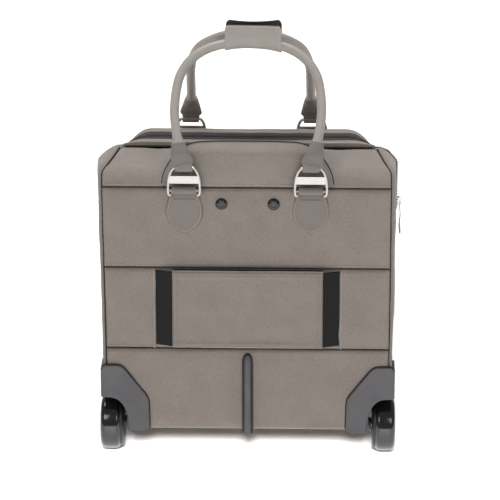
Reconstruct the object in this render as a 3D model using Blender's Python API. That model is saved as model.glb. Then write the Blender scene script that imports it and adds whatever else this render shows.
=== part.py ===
"""A rolling laptop case: a soft-sided upright case on two wheels, with a telescopic trolley handle, two leather
tote handles on buckles, a zipped top and a sleeve that slips over another case's trolley.

Metres, +Z up. The back, with the wheels and the trolley, faces -Y. The left of each pair is at -X.
"""

import math

import bmesh
import bpy
from mathutils import Vector
from mathutils.geometry import tessellate_polygon

# Case shell
HALF_WIDTH = 0.200
HALF_DEPTH = 0.100
BASE_Z = 0.040
SHOULDER_Z = 0.420
CROWN_Z = 0.431
SHOULDER_RADIUS = 0.022
PANEL_THICKNESS = 0.004
GUSSET_THICKNESS = 0.003
SIDE_BULGE = 0.0035
SEAM_HEIGHTS = (0.1590, 0.2780, 0.3940)
SEAM_GAP = 0.0008
PIPING_INSET = 0.0018
PIPING_RADIUS = 0.0015
EDGE_GAP = 0.0040
ARC_ANGLES = (0, 15, 30, 45, 61.5, 75, 90)

# Wheel wells at the two back lower corners
WELL_X = 0.1635
WELL_Y = -0.0200
WELL_Z = 0.0930

# Top zip
ZIP_HALF_SPAN = 0.0306
ZIP_END_X = 0.1735
ZIP_RISE = 0.0062
ZIP_DROP = 0.0050
SLUMP = 0.0235
COIL_HALF_WIDTH = 0.0040
SIDE_ZIP_LOW = 0.334
SLIDER_Z = 0.344

# Wheels
WHEEL_RADIUS = 0.038
WHEEL_Y = -0.073
WHEEL_X = (0.181, 0.2065)
AXLE_RADIUS = 0.0040
BORE_RADIUS = 0.00408

# Trolley
TUBE_X = 0.052
TUBE_Y = -0.075
OUTER_TUBE = (0.0240, 0.0150)
MIDDLE_TUBE = (0.0208, 0.0118)
INNER_TUBE = (0.0176, 0.0086)
TUBE_WALL = 0.0012
GRIP_SIZE = (0.150, 0.022, 0.024)
GRIP_Z = 0.426
RIVET_X = 0.0355
RIVET_Z = 0.372
RIVET_SHANK = 0.0026

# Tote handles
TAB_X = 0.0860
PIN_Y = 0.1105
LOWER_PIN_Z = 0.3945
UPPER_PIN_Z = 0.4265
PIN_HALF_HEIGHT = 0.0020
BUCKLE_THICKNESS = 0.0032
LOOP_RADIUS = 0.0043
LEATHER_THICKNESS = 0.0022
HANDLE_RADIUS = 0.0070
LEAN_START_Z = 0.447
LEAN = 0.725
WRAP_X = 0.0055
WRAP_HALF_LENGTH = 0.0385
WRAP_TOP = {"back": 0.0155, "front": 0.0205}

SIDES = {"left": -1, "right": 1}
FACES = {"back": -1, "front": 1}

COLOURS = {
    "fabric": (0.21, 0.185, 0.165),
    "fabric_inner": (0.06, 0.055, 0.05),
    "leather": (0.17, 0.145, 0.13),
    "elastic": (0.03, 0.03, 0.03),
    "black_plastic": (0.05, 0.05, 0.05),
    "guard_plastic": (0.075, 0.07, 0.072),
    "wheel": (0.02, 0.02, 0.02),
    "steel": (0.62, 0.61, 0.6),
    "tube": (0.7, 0.7, 0.72),
}


def clear_scene():
    for obj in list(bpy.data.objects):
        bpy.data.objects.remove(obj, do_unlink=True)


def material(name, colour):
    mat = bpy.data.materials.new(name)
    mat.use_nodes = True
    mat.node_tree.nodes["Principled BSDF"].inputs["Base Color"].default_value = (*COLOURS[colour], 1)
    return mat


def solid(name, points, faces, colour, origin=(0, 0, 0), smooth=False, helper=False):
    """An object from world-space points, with its origin moved to the given point."""
    origin = Vector(origin)
    mesh = bpy.data.meshes.new(name)
    mesh.from_pydata([Vector(p) - origin for p in points], [], faces)
    work = bmesh.new()
    work.from_mesh(mesh)
    bmesh.ops.remove_doubles(work, verts=work.verts, dist=1e-6)
    bmesh.ops.recalc_face_normals(work, faces=work.faces)
    work.to_mesh(mesh)
    work.free()
    obj = bpy.data.objects.new(name, mesh)
    obj.location = origin
    bpy.context.collection.objects.link(obj)
    if smooth:
        mesh.polygons.foreach_set("use_smooth", [True] * len(mesh.polygons))
    if helper:
        obj.hide_render = True
        obj.display_type = "WIRE"
    else:
        mesh.materials.append(material(name, colour))
    return obj


def shell(name, outer, inner, colour, origin=(0, 0, 0), hole=None, smooth=True):
    """A closed skin between two grids of points. hole(row, column) leaves a cell of the grid open."""
    rows = len(outer)
    columns = len(outer[0])
    count = rows * columns
    points = [p for row in outer for p in row] + [p for row in inner for p in row]
    kept = {(i, j) for i in range(rows - 1) for j in range(columns - 1) if not (hole and hole(i, j))}
    faces = []
    for i, j in sorted(kept):
        corners = [i * columns + j, i * columns + j + 1, (i + 1) * columns + j + 1, (i + 1) * columns + j]
        faces.append(corners)
        faces.append([count + c for c in reversed(corners)])
        neighbours = ((i - 1, j), (i, j + 1), (i + 1, j), (i, j - 1))
        for edge, neighbour in enumerate(neighbours):
            if neighbour not in kept:
                a, b = corners[edge], corners[(edge + 1) % 4]
                faces.append([b, a, count + a, count + b])
    used = sorted({index for face in faces for index in face})
    place = {index: k for k, index in enumerate(used)}
    return solid(
        name,
        [points[index] for index in used],
        [[place[index] for index in face] for face in faces],
        colour,
        origin,
        smooth,
    )


def plate(name, outline, low, high, axis, colour, windows=(), origin=(0, 0, 0), helper=False):
    """An outline with windows, extruded along an axis. A point is the other two axes, in X, Y, Z order."""
    loops = [outline, *windows]
    flat = [p for loop in loops for p in loop]
    cells = tessellate_polygon([[Vector((*p, 0)) for p in loop] for loop in loops])
    count = len(flat)

    def place(point, level):
        values = list(point)
        values.insert(axis, level)
        return values

    points = [place(p, low) for p in flat] + [place(p, high) for p in flat]
    faces = [list(cell) for cell in cells] + [[count + c for c in reversed(cell)] for cell in cells]
    start = 0
    for loop in loops:
        for k in range(len(loop)):
            a, b = start + k, start + (k + 1) % len(loop)
            faces.append([a, b, count + b, count + a])
        start += len(loop)
    return solid(name, points, faces, colour, origin, helper=helper)


def rectangle(x0, x1, y0, y1):
    return [(x0, y0), (x1, y0), (x1, y1), (x0, y1)]


def rounded_rectangle(half_x, half_y, radius, centre=(0, 0), steps=3):
    points = []
    for turn, (sx, sy) in enumerate(((1, 1), (-1, 1), (-1, -1), (1, -1))):
        for k in range(steps + 1):
            angle = math.radians(90 * turn + 90 * k / steps)
            points.append((
                centre[0] + sx * (half_x - radius) + radius * math.cos(angle),
                centre[1] + sy * (half_y - radius) + radius * math.sin(angle),
            ))
    return points


def circle(radius, centre=(0, 0), count=16):
    angles = [2 * math.pi * k / count for k in range(count)]
    return [(centre[0] + radius * math.cos(a), centre[1] + radius * math.sin(a)) for a in angles]


def box(name, low, high, colour, helper=False):
    return plate(name, rectangle(low[0], high[0], low[1], high[1]), low[2], high[2], 2, colour, helper=helper)


def combine(obj, other, operation):
    change = obj.modifiers.new(other.name, "BOOLEAN")
    change.operation = operation
    change.solver = "EXACT"
    change.object = other


def lathe(name, profile, centre, axis, colour, segments=32, origin=None, smooth=True):
    """A ring-shaped profile of (along, radius) points turned about an axis through the centre."""
    points = []
    closed_ends = profile[0][1] == 0 and profile[-1][1] == 0
    for along, radius in profile:
        for k in range(segments):
            angle = 2 * math.pi * k / segments
            values = [radius * math.cos(angle), radius * math.sin(angle)]
            values.insert(axis, along)
            points.append([c + v for c, v in zip(centre, values)])
    faces = []
    rings = len(profile)
    for i in range(rings - 1 if closed_ends else rings):
        for k in range(segments):
            a, b = i * segments + k, i * segments + (k + 1) % segments
            c, d = ((i + 1) % rings) * segments + (k + 1) % segments, ((i + 1) % rings) * segments + k
            faces.append([a, b, c, d])
    return solid(name, points, faces, colour, origin or centre, smooth)


def sweep(name, stations, colour, origin=(0, 0, 0), sides=12):
    """Rings of (centre, across, through, half width, half thickness, squareness) joined into a closed rod."""
    points = []
    for centre, across, through, half_width, half_thickness, square in stations:
        for k in range(sides):
            angle = 2 * math.pi * (k + 0.5) / sides
            c, s = math.cos(angle), math.sin(angle)
            power = 1 - 0.62 * square
            c = math.copysign(abs(c) ** power, c)
            s = math.copysign(abs(s) ** power, s)
            offset = Vector(across) * half_width * c + Vector(through) * half_thickness * s
            points.append(Vector(centre) + offset)
    faces = []
    for i in range(len(stations) - 1):
        for k in range(sides):
            a, b = i * sides + k, i * sides + (k + 1) % sides
            faces.append([a, b, b + sides, a + sides])
    faces.append(list(range(sides)))
    faces.append(list(range((len(stations) - 1) * sides, len(stations) * sides)))
    return solid(name, points, faces, colour, origin, smooth=True)


def cord_between(name, path, radius, colour, sides=8):
    """A round cord along a path of points."""
    path = [Vector(p) for p in path]
    stations = []
    across = None
    for i, point in enumerate(path):
        tangent = (path[min(i + 1, len(path) - 1)] - path[max(i - 1, 0)]).normalized()
        if across is None:
            across = tangent.orthogonal().normalized()
        across = (across - tangent * across.dot(tangent)).normalized()
        stations.append((point, across, tangent.cross(across), radius, radius, 0))
    return sweep(name, stations, colour, sides=sides)


def crown_height(y):
    """Height of the case's top at a depth: level at the shoulder, then rising to the zip."""
    shoulder = HALF_DEPTH - SHOULDER_RADIUS
    run = shoulder - ZIP_HALF_SPAN
    share = (shoulder - abs(y)) / run
    return SHOULDER_Z + (CROWN_Z - SHOULDER_Z) * min(max(share, 0), 1)


def slump(x, y, z):
    """The top of the case falls away towards the front at both ends of the zip."""
    across = min(max((abs(x) - 0.130) / 0.034, 0), 1) ** 2
    along = min(max((y + 0.028) / 0.078, 0), 1)
    up = min(max((z - 0.330) / 0.100, 0), 1)
    return (x, y, z - SLUMP * across * along * up * up * (3 - 2 * up))


def wrap_profile(face, depth, bottom):
    """Stations (y, z, half width) up a panel, over its shoulder and along the top, at a depth inside."""
    sign = FACES[face]
    centre_y = HALF_DEPTH - SHOULDER_RADIUS
    centre_x = HALF_WIDTH - SHOULDER_RADIUS
    centre_z = SHOULDER_Z - SHOULDER_RADIUS
    radius = SHOULDER_RADIUS - depth
    stations = [(sign * (HALF_DEPTH - depth), bottom, HALF_WIDTH - EDGE_GAP)]
    for angle in ARC_ANGLES:
        c, s = math.cos(math.radians(angle)), math.sin(math.radians(angle))
        half_width = centre_x + SHOULDER_RADIUS * c - EDGE_GAP
        stations.append((sign * (centre_y + radius * c), centre_z + radius * s, half_width))
    for y in (0.061, 0.046, ZIP_HALF_SPAN + 0.0008):
        stations.append((sign * y, crown_height(y) - depth, centre_x - EDGE_GAP))
    return stations


def wrap_panel(name, face, bottom, columns, hole=None):
    grids = []
    for depth in (0, PANEL_THICKNESS):
        rows = []
        for y, z, half_width in wrap_profile(face, depth, bottom):
            rows.append([slump(half_width * c if abs(c) == 1 else c, y, z) for c in columns])
        grids.append(rows)
    return shell(name, grids[0], grids[1], "fabric", hole=hole)


def build_case_panels():
    columns = [-1, -0.150, -0.112, -0.079, -0.040, 0, 0.040, 0.079, 0.112, 0.150, 1]

    def trolley_slot(row, column):
        return 5 <= row <= 7 and 3 <= column <= 6

    wrap_panel("back_band_shoulder", "back", SEAM_HEIGHTS[2] + SEAM_GAP, columns, trolley_slot)
    front_columns = [-1, -0.166, -0.156, -0.145, -0.130, -0.070, 0, 0.070, 0.130, 0.145, 0.156, 0.166, 1]
    wrap_panel("front_panel", "front", BASE_Z + PANEL_THICKNESS, front_columns)

    edge = HALF_WIDTH - EDGE_GAP
    levels = (BASE_Z + PANEL_THICKNESS, *SEAM_HEIGHTS)
    for k, name in enumerate(("back_band_lower", "back_band_middle", "back_band_upper")):
        low = levels[k] + (SEAM_GAP if k else 0)
        high = levels[k + 1]
        outline = rectangle(-edge, edge, low, high)
        if k == 0:
            outline = [
                (-WELL_X, low), (WELL_X, low), (WELL_X, WELL_Z), (edge, WELL_Z),
                (edge, high), (-edge, high), (-edge, WELL_Z), (-WELL_X, WELL_Z),
            ]
        windows = []
        if k == 2:
            windows = [circle(RIVET_SHANK + 0.0005, (s * RIVET_X, RIVET_Z), 12) for s in (-1, 1)]
        plate(name, outline, -HALF_DEPTH, -HALF_DEPTH + PANEL_THICKNESS, 1, "fabric", windows)

    inset = 0.0046
    x, y = HALF_WIDTH - inset, HALF_DEPTH - inset
    outline = [
        (-WELL_X, -y), (WELL_X, -y), (WELL_X, WELL_Y), (x, WELL_Y),
        (x, y), (-x, y), (-x, WELL_Y), (-WELL_X, WELL_Y),
    ]
    plate("bottom_panel", outline, BASE_Z, BASE_Z + PANEL_THICKNESS, 2, "fabric")
    x, y = 0.191, 0.091
    outline = [
        (-0.154, -y), (0.154, -y), (0.154, -0.012), (x, -0.012),
        (x, y), (-x, y), (-x, -0.012), (-0.154, -0.012),
    ]
    plate("base_board", outline, BASE_Z + 0.0044, BASE_Z + 0.0074, 2, "black_plastic")


def side_bulge(y, z):
    ramp = min(max((z - 0.060) / 0.190, 0), 1)
    return SIDE_BULGE * (1 - (y / 0.096) ** 2) * ramp * ramp * (3 - 2 * ramp)


def side_point(side, share, level, offset):
    """A point of a side gusset. level is a height, or an angle over the shoulder given as ('arc', degrees)."""
    centre = HALF_WIDTH - SHOULDER_RADIUS
    depth_centre = HALF_DEPTH - SHOULDER_RADIUS
    if isinstance(level, tuple):
        angle = math.radians(level[1])
        y = share * (depth_centre + SHOULDER_RADIUS * math.cos(angle) - EDGE_GAP)
        bulge = side_bulge(y, 0.4)
        x = centre + (SHOULDER_RADIUS + bulge + offset) * math.cos(angle)
        z = crown_height(y) - SHOULDER_RADIUS + (SHOULDER_RADIUS + offset) * math.sin(angle)
    else:
        y = share * (HALF_DEPTH - EDGE_GAP)
        x = HALF_WIDTH + side_bulge(y, level) + offset
        z = level
    return (SIDES[side] * x, y, z)


def build_side_gussets():
    well_share = WELL_Y / (HALF_DEPTH - EDGE_GAP)
    shares = [-1, -0.8, -0.6, -0.4, well_share, 0, -well_share, 0.4, 0.6, 0.8, 1]
    levels = [BASE_Z, WELL_Z, 0.150, 0.200, 0.250] + [("arc", a) for a in ARC_ANGLES]

    def well(row, column):
        return row == 0 and column < 4

    for side in SIDES:
        grids = []
        for offset in (0, -GUSSET_THICKNESS):
            rows = [[side_point(side, share, level, offset) for share in shares] for level in levels]
            grids.append([[slump(*point) for point in row] for row in rows])
        shell(f"side_gusset_{side}", grids[0], grids[1], "fabric", hole=well)


def corner_path(sign_x, sign_y, bottom):
    """The seam line up a vertical corner, over the shoulder and along the top to the zip."""
    inset = PIPING_INSET
    x, y = HALF_WIDTH - inset, HALF_DEPTH - inset
    centre_x, centre_y = HALF_WIDTH - SHOULDER_RADIUS, HALF_DEPTH - SHOULDER_RADIUS
    centre_z = SHOULDER_Z - SHOULDER_RADIUS
    radius = SHOULDER_RADIUS - inset
    path = [(sign_x * x, sign_y * y, bottom)]
    for angle in (0, 15, 30, 45, 60, 75, 88):
        c, s = math.cos(math.radians(angle)), math.sin(math.radians(angle))
        path.append((sign_x * (centre_x + radius * c), sign_y * (centre_y + radius * c), centre_z + radius * s))
    for depth in (0.0745, 0.060, 0.045, 0.0335):
        path.append((sign_x * 0.1760, sign_y * depth, crown_height(depth) - 0.0012))
    return [slump(*point) for point in path]


def build_piping():
    for side, sign in SIDES.items():
        cord_between(f"piping_back_{side}", corner_path(sign, -1, 0.0945), PIPING_RADIUS, "fabric")
    x, y, z = HALF_WIDTH - PIPING_INSET, HALF_DEPTH - PIPING_INSET, BASE_Z + PIPING_INSET
    left = corner_path(-1, 1, z + 0.006)
    right = corner_path(1, 1, z + 0.006)
    turn = [(x, y, z + 0.0025), (x - 0.0007, y, z + 0.0007), (x - 0.0025, y, z)]
    bottom = [(-a, b, c) for a, b, c in turn] + turn[::-1]
    cord_between("piping_front", left[::-1] + bottom + right, PIPING_RADIUS, "fabric")


def zip_height(x):
    share = max(abs(x) - 0.145, 0) / (ZIP_END_X - 0.145)
    return CROWN_Z + ZIP_RISE - ZIP_DROP * share * share


def build_zip():
    half = [0.07, 0.130, 0.145, 0.156, 0.166, ZIP_END_X]
    stations = [-x for x in reversed(half)] + [0] + half
    for face, sign in FACES.items():
        outer, inner = [], []
        for x in stations:
            top = zip_height(x)
            edge = 0.0003 + 0.0009 * min(max((abs(x) - 0.130) / 0.034, 0), 1)
            section = [(ZIP_HALF_SPAN, top - 0.0060), (ZIP_HALF_SPAN, top - 0.0028), (0.0278, top)]
            section += [(0.0046, top + 0.0004), (COIL_HALF_WIDTH, top + 0.0016), (edge, top + 0.0016)]
            under = [(0.0288, top - 0.0062), (0.0288, top - 0.0034), (0.0270, top - 0.0018)]
            under += [(0.0046, top - 0.0014), (COIL_HALF_WIDTH, top - 0.0014), (edge, top - 0.0014)]
            outer.append([slump(x, sign * y, z) for y, z in section])
            inner.append([slump(x, sign * y, z) for y, z in under])
        hinge = (0, sign * ZIP_HALF_SPAN, CROWN_Z)
        shell(f"zip_gusset_{face}", outer, inner, "fabric", hinge)

    columns = [(-0.0120, 0.0014), (-0.0036, 0.0014), (-0.0030, 0.0024), (0.0030, 0.0024), (0.0036, 0.0014),
               (0.0120, 0.0014)]
    levels = [SIDE_ZIP_LOW] + [("arc", a) for a in (0, 15, 30, 45, 61.5, 75)]
    for side, sign in SIDES.items():
        grids = []
        for top in (True, False):
            rows = []
            for level in levels:
                rows.append([])
                for y, height in columns:
                    x, _, z = side_point(side, 0, level, height if top else 0.0005)
                    rows[-1].append(slump(x, y, z))
            grids.append(rows)
        shell(f"zip_side_{side}", grids[0], grids[1], "elastic")
    build_slider("right", 1)


def build_slider(side, sign):
    base = HALF_WIDTH + SIDE_BULGE + 0.0024 + 0.0004
    z = SLIDER_Z
    outline = [(base, z - 0.0065), (base + 0.0020, z - 0.0060), (base + 0.0053, z - 0.0045)]
    outline += [(base + 0.0056, z + 0.0030), (base + 0.0020, z + 0.0060), (base, z + 0.0060)]
    window = rectangle(base + 0.0022, base + 0.0045, z - 0.0036, z + 0.0022)
    body = plate(
        f"zip_slider_{side}",
        [(sign * x, h) for x, h in outline],
        -0.0016, 0.0016, 1, "steel",
        [[(sign * x, h) for x, h in window]],
        (sign * base, 0, z),
    )
    wings = plate(
        f"cut_slider_wings_{side}",
        [(sign * (base + 0.0001), z - 0.0060), (sign * (base + 0.0019), z - 0.0055),
         (sign * (base + 0.0019), z + 0.0055), (sign * (base + 0.0001), z + 0.0055)],
        -0.0050, 0.0050, 1, "steel", helper=True,
    )
    combine(body, wings, "UNION")
    bar_x = base + 0.00335
    hinge = (sign * bar_x, 0, z)
    outline = [(-0.0042, z + 0.0009), (0.0042, z + 0.0009), (0.0042, z - 0.0120), (0.0068, z - 0.0200)]
    outline += [(0.0072, z - 0.0380), (0.0055, z - 0.0455), (0, z - 0.0490)]
    outline += [(-0.0055, z - 0.0455), (-0.0072, z - 0.0380), (-0.0068, z - 0.0200), (-0.0042, z - 0.0120)]
    window = rectangle(-0.0024, 0.0024, z - 0.0105, z - 0.0006)
    low, high = sorted((sign * (bar_x - 0.00055), sign * (bar_x + 0.00055)))
    plate(f"zip_pull_{side}", outline, low, high, 0, "steel", [window], hinge)


def shoulder_depth(z):
    """How far the case reaches from its middle at a height on the shoulder."""
    rise = min(max(z - SHOULDER_Z + SHOULDER_RADIUS, 0), SHOULDER_RADIUS)
    return HALF_DEPTH - SHOULDER_RADIUS + math.sqrt(SHOULDER_RADIUS ** 2 - rise ** 2)


def build_back_trim():
    """The trolley cover, the sleeve that slips over another case's trolley, and its elastic sides."""
    face = -HALF_DEPTH
    outer = [(-0.1035, -0.1086), (0.1035, -0.1086)]
    low, high = 0.1650, 0.2765
    rows_outer = [[(x, y, z) for x, y in outer] for z in (low, high)]
    rows_inner = [[(x, y + 0.0022, z) for x, y in outer] for z in (low, high)]
    shell("trolley_sleeve", rows_outer, rows_inner, "fabric", smooth=False)
    for side, sign in SIDES.items():
        section = [(0.1040, -0.1080), (0.1080, -0.1076), (0.1210, -0.1022), (0.1265, -0.1018)]
        outer = [[(sign * x, y, z) for x, y in section] for z in (low + 0.001, high - 0.001)]
        inner = [[(sign * x, y + 0.0014, z) for x, y in section] for z in (low + 0.001, high - 0.001)]
        shell(f"elastic_{side}", outer, inner, "elastic")

    columns = [-0.115, -0.110, -0.104, -0.096, -0.087, -0.075, -0.060, -0.030, 0,
               0.030, 0.060, 0.075, 0.087, 0.096, 0.104, 0.110, 0.115]
    tops = {0.115: 0.405, 0.110: 0.416, 0.104: 0.427, 0.096: 0.439, 0.087: 0.4475,
            0.075: 0.4525, 0.060: 0.4550, 0.030: 0.4560, 0: 0.4560}
    bottom = SEAM_HEIGHTS[2] + 0.0036
    outer, inner = [], []
    for step in range(9):
        outer.append([])
        inner.append([])
        for x in columns:
            top = tops[abs(x)]
            front = face - 0.0028 - 0.0080 * max(1 - (x / 0.085) ** 2, 0) ** 2
            back = min(-0.0890, -shoulder_depth(top - 0.0035) - 0.0008)
            reach = min(0.011, 0.35 * (top - bottom) + 0.004)
            if step < 4:
                share = step / 4
                push = math.sin(math.pi * 0.5 * share)
                y = face - 0.0028 + (front - face + 0.0028) * push
                z = bottom + (top - reach - bottom) * share
                slope = Vector((0, 1, 0))
            else:
                angle = math.radians(90 * (step - 4) / 4)
                y = front + (back - front) * (1 - math.cos(angle))
                z = top - reach + reach * math.sin(angle)
                slope = Vector((0, math.cos(angle), -math.sin(angle)))
            outer[-1].append((x, y, z))
            inner[-1].append(Vector((x, y, z)) + slope * 0.0022)
    shell("trolley_flap", outer, inner, "fabric", (0, face - 0.0017, bottom))


def build_tabs_and_buckles():
    for face, way in FACES.items():
        for side, sign in SIDES.items():
            build_tab(f"handle_tab_{face}_{side}", way, sign * TAB_X)
            build_buckle(f"buckle_{face}_{side}", way, sign * TAB_X)


def build_tab(name, way, x):
    """A spade-shaped leather tab lying on the case, its top end looped over the buckle's lower bar."""
    y = HALF_DEPTH + 0.0006 + LEATHER_THICKNESS / 2
    path = [
        (y, 0.3290, 0.0015), (y, 0.3310, 0.0060), (y, 0.3345, 0.0110), (y, 0.3400, 0.0175), (y, 0.3470, 0.0225),
        (y, 0.3550, 0.0250), (y, 0.3620, 0.0250), (y, 0.3690, 0.0225), (y, 0.3760, 0.0192), (y, 0.3820, 0.0174),
        (y + 0.0008, 0.3860, 0.0170), (y + 0.0028, 0.3902, 0.0168),
    ]
    for angle in (0, 35, 70, 105, 140, 180, 215, 250, 285):
        a = math.radians(angle)
        path.append((PIN_Y - LOOP_RADIUS * math.cos(a), LOWER_PIN_Z + LOOP_RADIUS * math.sin(a), 0.0166))
    outer, inner = [], []
    for i, (depth, z, half_width) in enumerate(path):
        before = path[max(i - 1, 0)]
        after = path[min(i + 1, len(path) - 1)]
        along = Vector((after[0] - before[0], after[1] - before[1])).normalized()
        away = Vector((along.y, -along.x)) * LEATHER_THICKNESS / 2
        columns = (-1, -0.5, 0.5, 1)
        outer.append([(x + c * half_width, way * (depth - away.x), z - away.y) for c in columns])
        inner.append([(x + c * half_width, way * (depth + away.x), z + away.y) for c in columns])
    shell(name, outer, inner, "leather")


def build_buckle(name, way, x):
    low, high = LOWER_PIN_Z - PIN_HALF_HEIGHT, UPPER_PIN_Z + PIN_HALF_HEIGHT
    outline = [(0.0180, low), (0.0205, low - 0.0030), (0.0228, low - 0.0022), (0.0228, low + 0.0060)]
    outline += [(0.0188, 0.4130), (0.0160, high - 0.0012), (0.0148, high)]
    outline = outline + [(-a, b) for a, b in reversed(outline)]
    bar_low, bar_high = 0.4078, 0.4150
    lower = [(-0.0185, low + 0.0040), (0.0185, low + 0.0040), (0.0168, bar_low), (-0.0168, bar_low)]
    upper = [(-0.0142, bar_high), (0.0142, bar_high), (0.0112, high - 0.0040), (-0.0112, high - 0.0040)]
    middle = way * PIN_Y
    plate(
        name,
        [(x + a, b) for a, b in outline],
        middle - BUCKLE_THICKNESS / 2, middle + BUCKLE_THICKNESS / 2, 1, "steel",
        [[(x + a, b) for a, b in window] for window in (lower, upper)],
        (x, middle, LOWER_PIN_Z),
    )


HANDLE_LINES = {
    "back": [(0.0868, 0.447), (0.0912, 0.460), (0.0962, 0.473), (0.0992, 0.487), (0.0996, 0.500),
             (0.0978, 0.519), (0.0933, 0.539), (0.0805, 0.5585), (0.0590, 0.5725), (0.0316, 0.5800),
             (0, 0.5825)],
    "front": [(0.0850, 0.447), (0.0846, 0.460), (0.0842, 0.473), (0.0840, 0.487), (0.0838, 0.500),
              (0.0828, 0.519), (0.0790, 0.537), (0.0700, 0.5530), (0.0540, 0.5650), (0.0330, 0.5740),
              (0, 0.5790)],
}


def handle_depth(z):
    """How far a tote handle stands from the case's middle at a height: it leans in above the chape."""
    return PIN_Y - LEAN * max(z - LEAN_START_Z, 0)


def handle_height(line, x):
    """Height of the top of a tote handle's arch at a distance from the middle."""
    for (x0, z0), (x1, z1) in zip(line[::-1], line[-2::-1]):
        if x <= x1:
            return z0 + (z1 - z0) * (x - x0) / (x1 - x0)
    return line[0][1]


def build_handles():
    for face, way in FACES.items():
        half = []
        across, start = Vector((1, 0, 0)), (TAB_X, UPPER_PIN_Z)
        for angle in (60, 90, 120, 150, 180, 210, 240, 270):
            a = math.radians(angle)
            y = PIN_Y - LOOP_RADIUS * math.sin(a)
            centre = (start[0], way * y, start[1] + LOOP_RADIUS * math.cos(a))
            through = Vector((0, -way * math.sin(a), math.cos(a)))
            half.append((Vector(centre), across, through, 0.0098, LEATHER_THICKNESS / 2, 0.8))
        through = Vector((0, way, 0))
        for z, out, width, thick, square in (
            (0.0046, LOOP_RADIUS, 0.0098, 0.0011, 0.8),
            (0.0085, 0.0024, 0.0096, 0.0019, 0.7),
            (0.0135, 0.0003, 0.0090, 0.0036, 0.5),
        ):
            centre = (start[0] + 0.0002 * z / 0.0046, way * (PIN_Y + out), start[1] + z)
            half.append((Vector(centre), across, through, width, thick, square))
        line = HANDLE_LINES[face]
        normal = Vector((0, way, LEAN)).normalized()
        for k, (x, z) in enumerate(line):
            before = line[k - 1] if k else (TAB_X, LEAN_START_Z - 0.01)
            after = line[k + 1] if k + 1 < len(line) else (-line[k - 1][0], line[k - 1][1])
            lean = handle_depth(after[1]) - handle_depth(before[1])
            along = Vector((after[0] - before[0], way * lean, after[1] - before[1]))
            along.normalize()
            facing = through.lerp(normal, min(k / 3, 1)).normalized()
            side = along.cross(facing).normalized() * -way
            thick = min(0.0052 + 0.0009 * k, HANDLE_RADIUS)
            wide = max(0.0082 - 0.0006 * k, HANDLE_RADIUS)
            centre = Vector((x, way * handle_depth(z), z))
            half.append((centre, side, facing, wide, thick, max(0.35 - 0.15 * k, 0)))
        mirrored = []
        for centre, side, facing, wide, thick, square in reversed(half[:-1]):
            flipped, side, facing = (Vector((-v.x, v.y, v.z)) for v in (centre, side, facing))
            mirrored.append((flipped, side, facing, wide, thick, square))
        sweep(f"handle_{face}", half + mirrored, "leather", (0, way * PIN_Y, UPPER_PIN_Z))
        build_wrap(face, way, line)


def build_wrap(face, way, line):
    """Half of the leather wrap: it hangs from the tote handle's outer side and curls under it."""
    top_y = handle_depth(line[-1][1])
    section = [(0.0068, WRAP_TOP[face]), (0.0092, 0.0090), (0.0100, 0.0030), (0.0098, -0.0050),
               (0.0072, -0.0112), (0.0030, -0.0142), (-0.0030, -0.0150), (0.0012 - top_y, -0.0146)]
    outer, inner = [], []
    for i, (out, up) in enumerate(section):
        before = section[max(i - 1, 0)]
        after = section[min(i + 1, len(section) - 1)]
        along = Vector((after[0] - before[0], after[1] - before[1])).normalized()
        away = Vector((-along.y, along.x)) * LEATHER_THICKNESS / 2
        outer.append([])
        inner.append([])
        for share in (-1, -0.6, -0.2, 0.2, 0.6, 1):
            x = WRAP_X + share * WRAP_HALF_LENGTH
            z = handle_height(line, abs(x))
            y = handle_depth(z)
            outer[-1].append((x, way * (y + out + away.x), z + up + away.y))
            inner[-1].append((x, way * (y + out - away.x), z + up - away.y))
    shell(f"handle_wrap_{face}", outer, inner, "leather")


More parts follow.
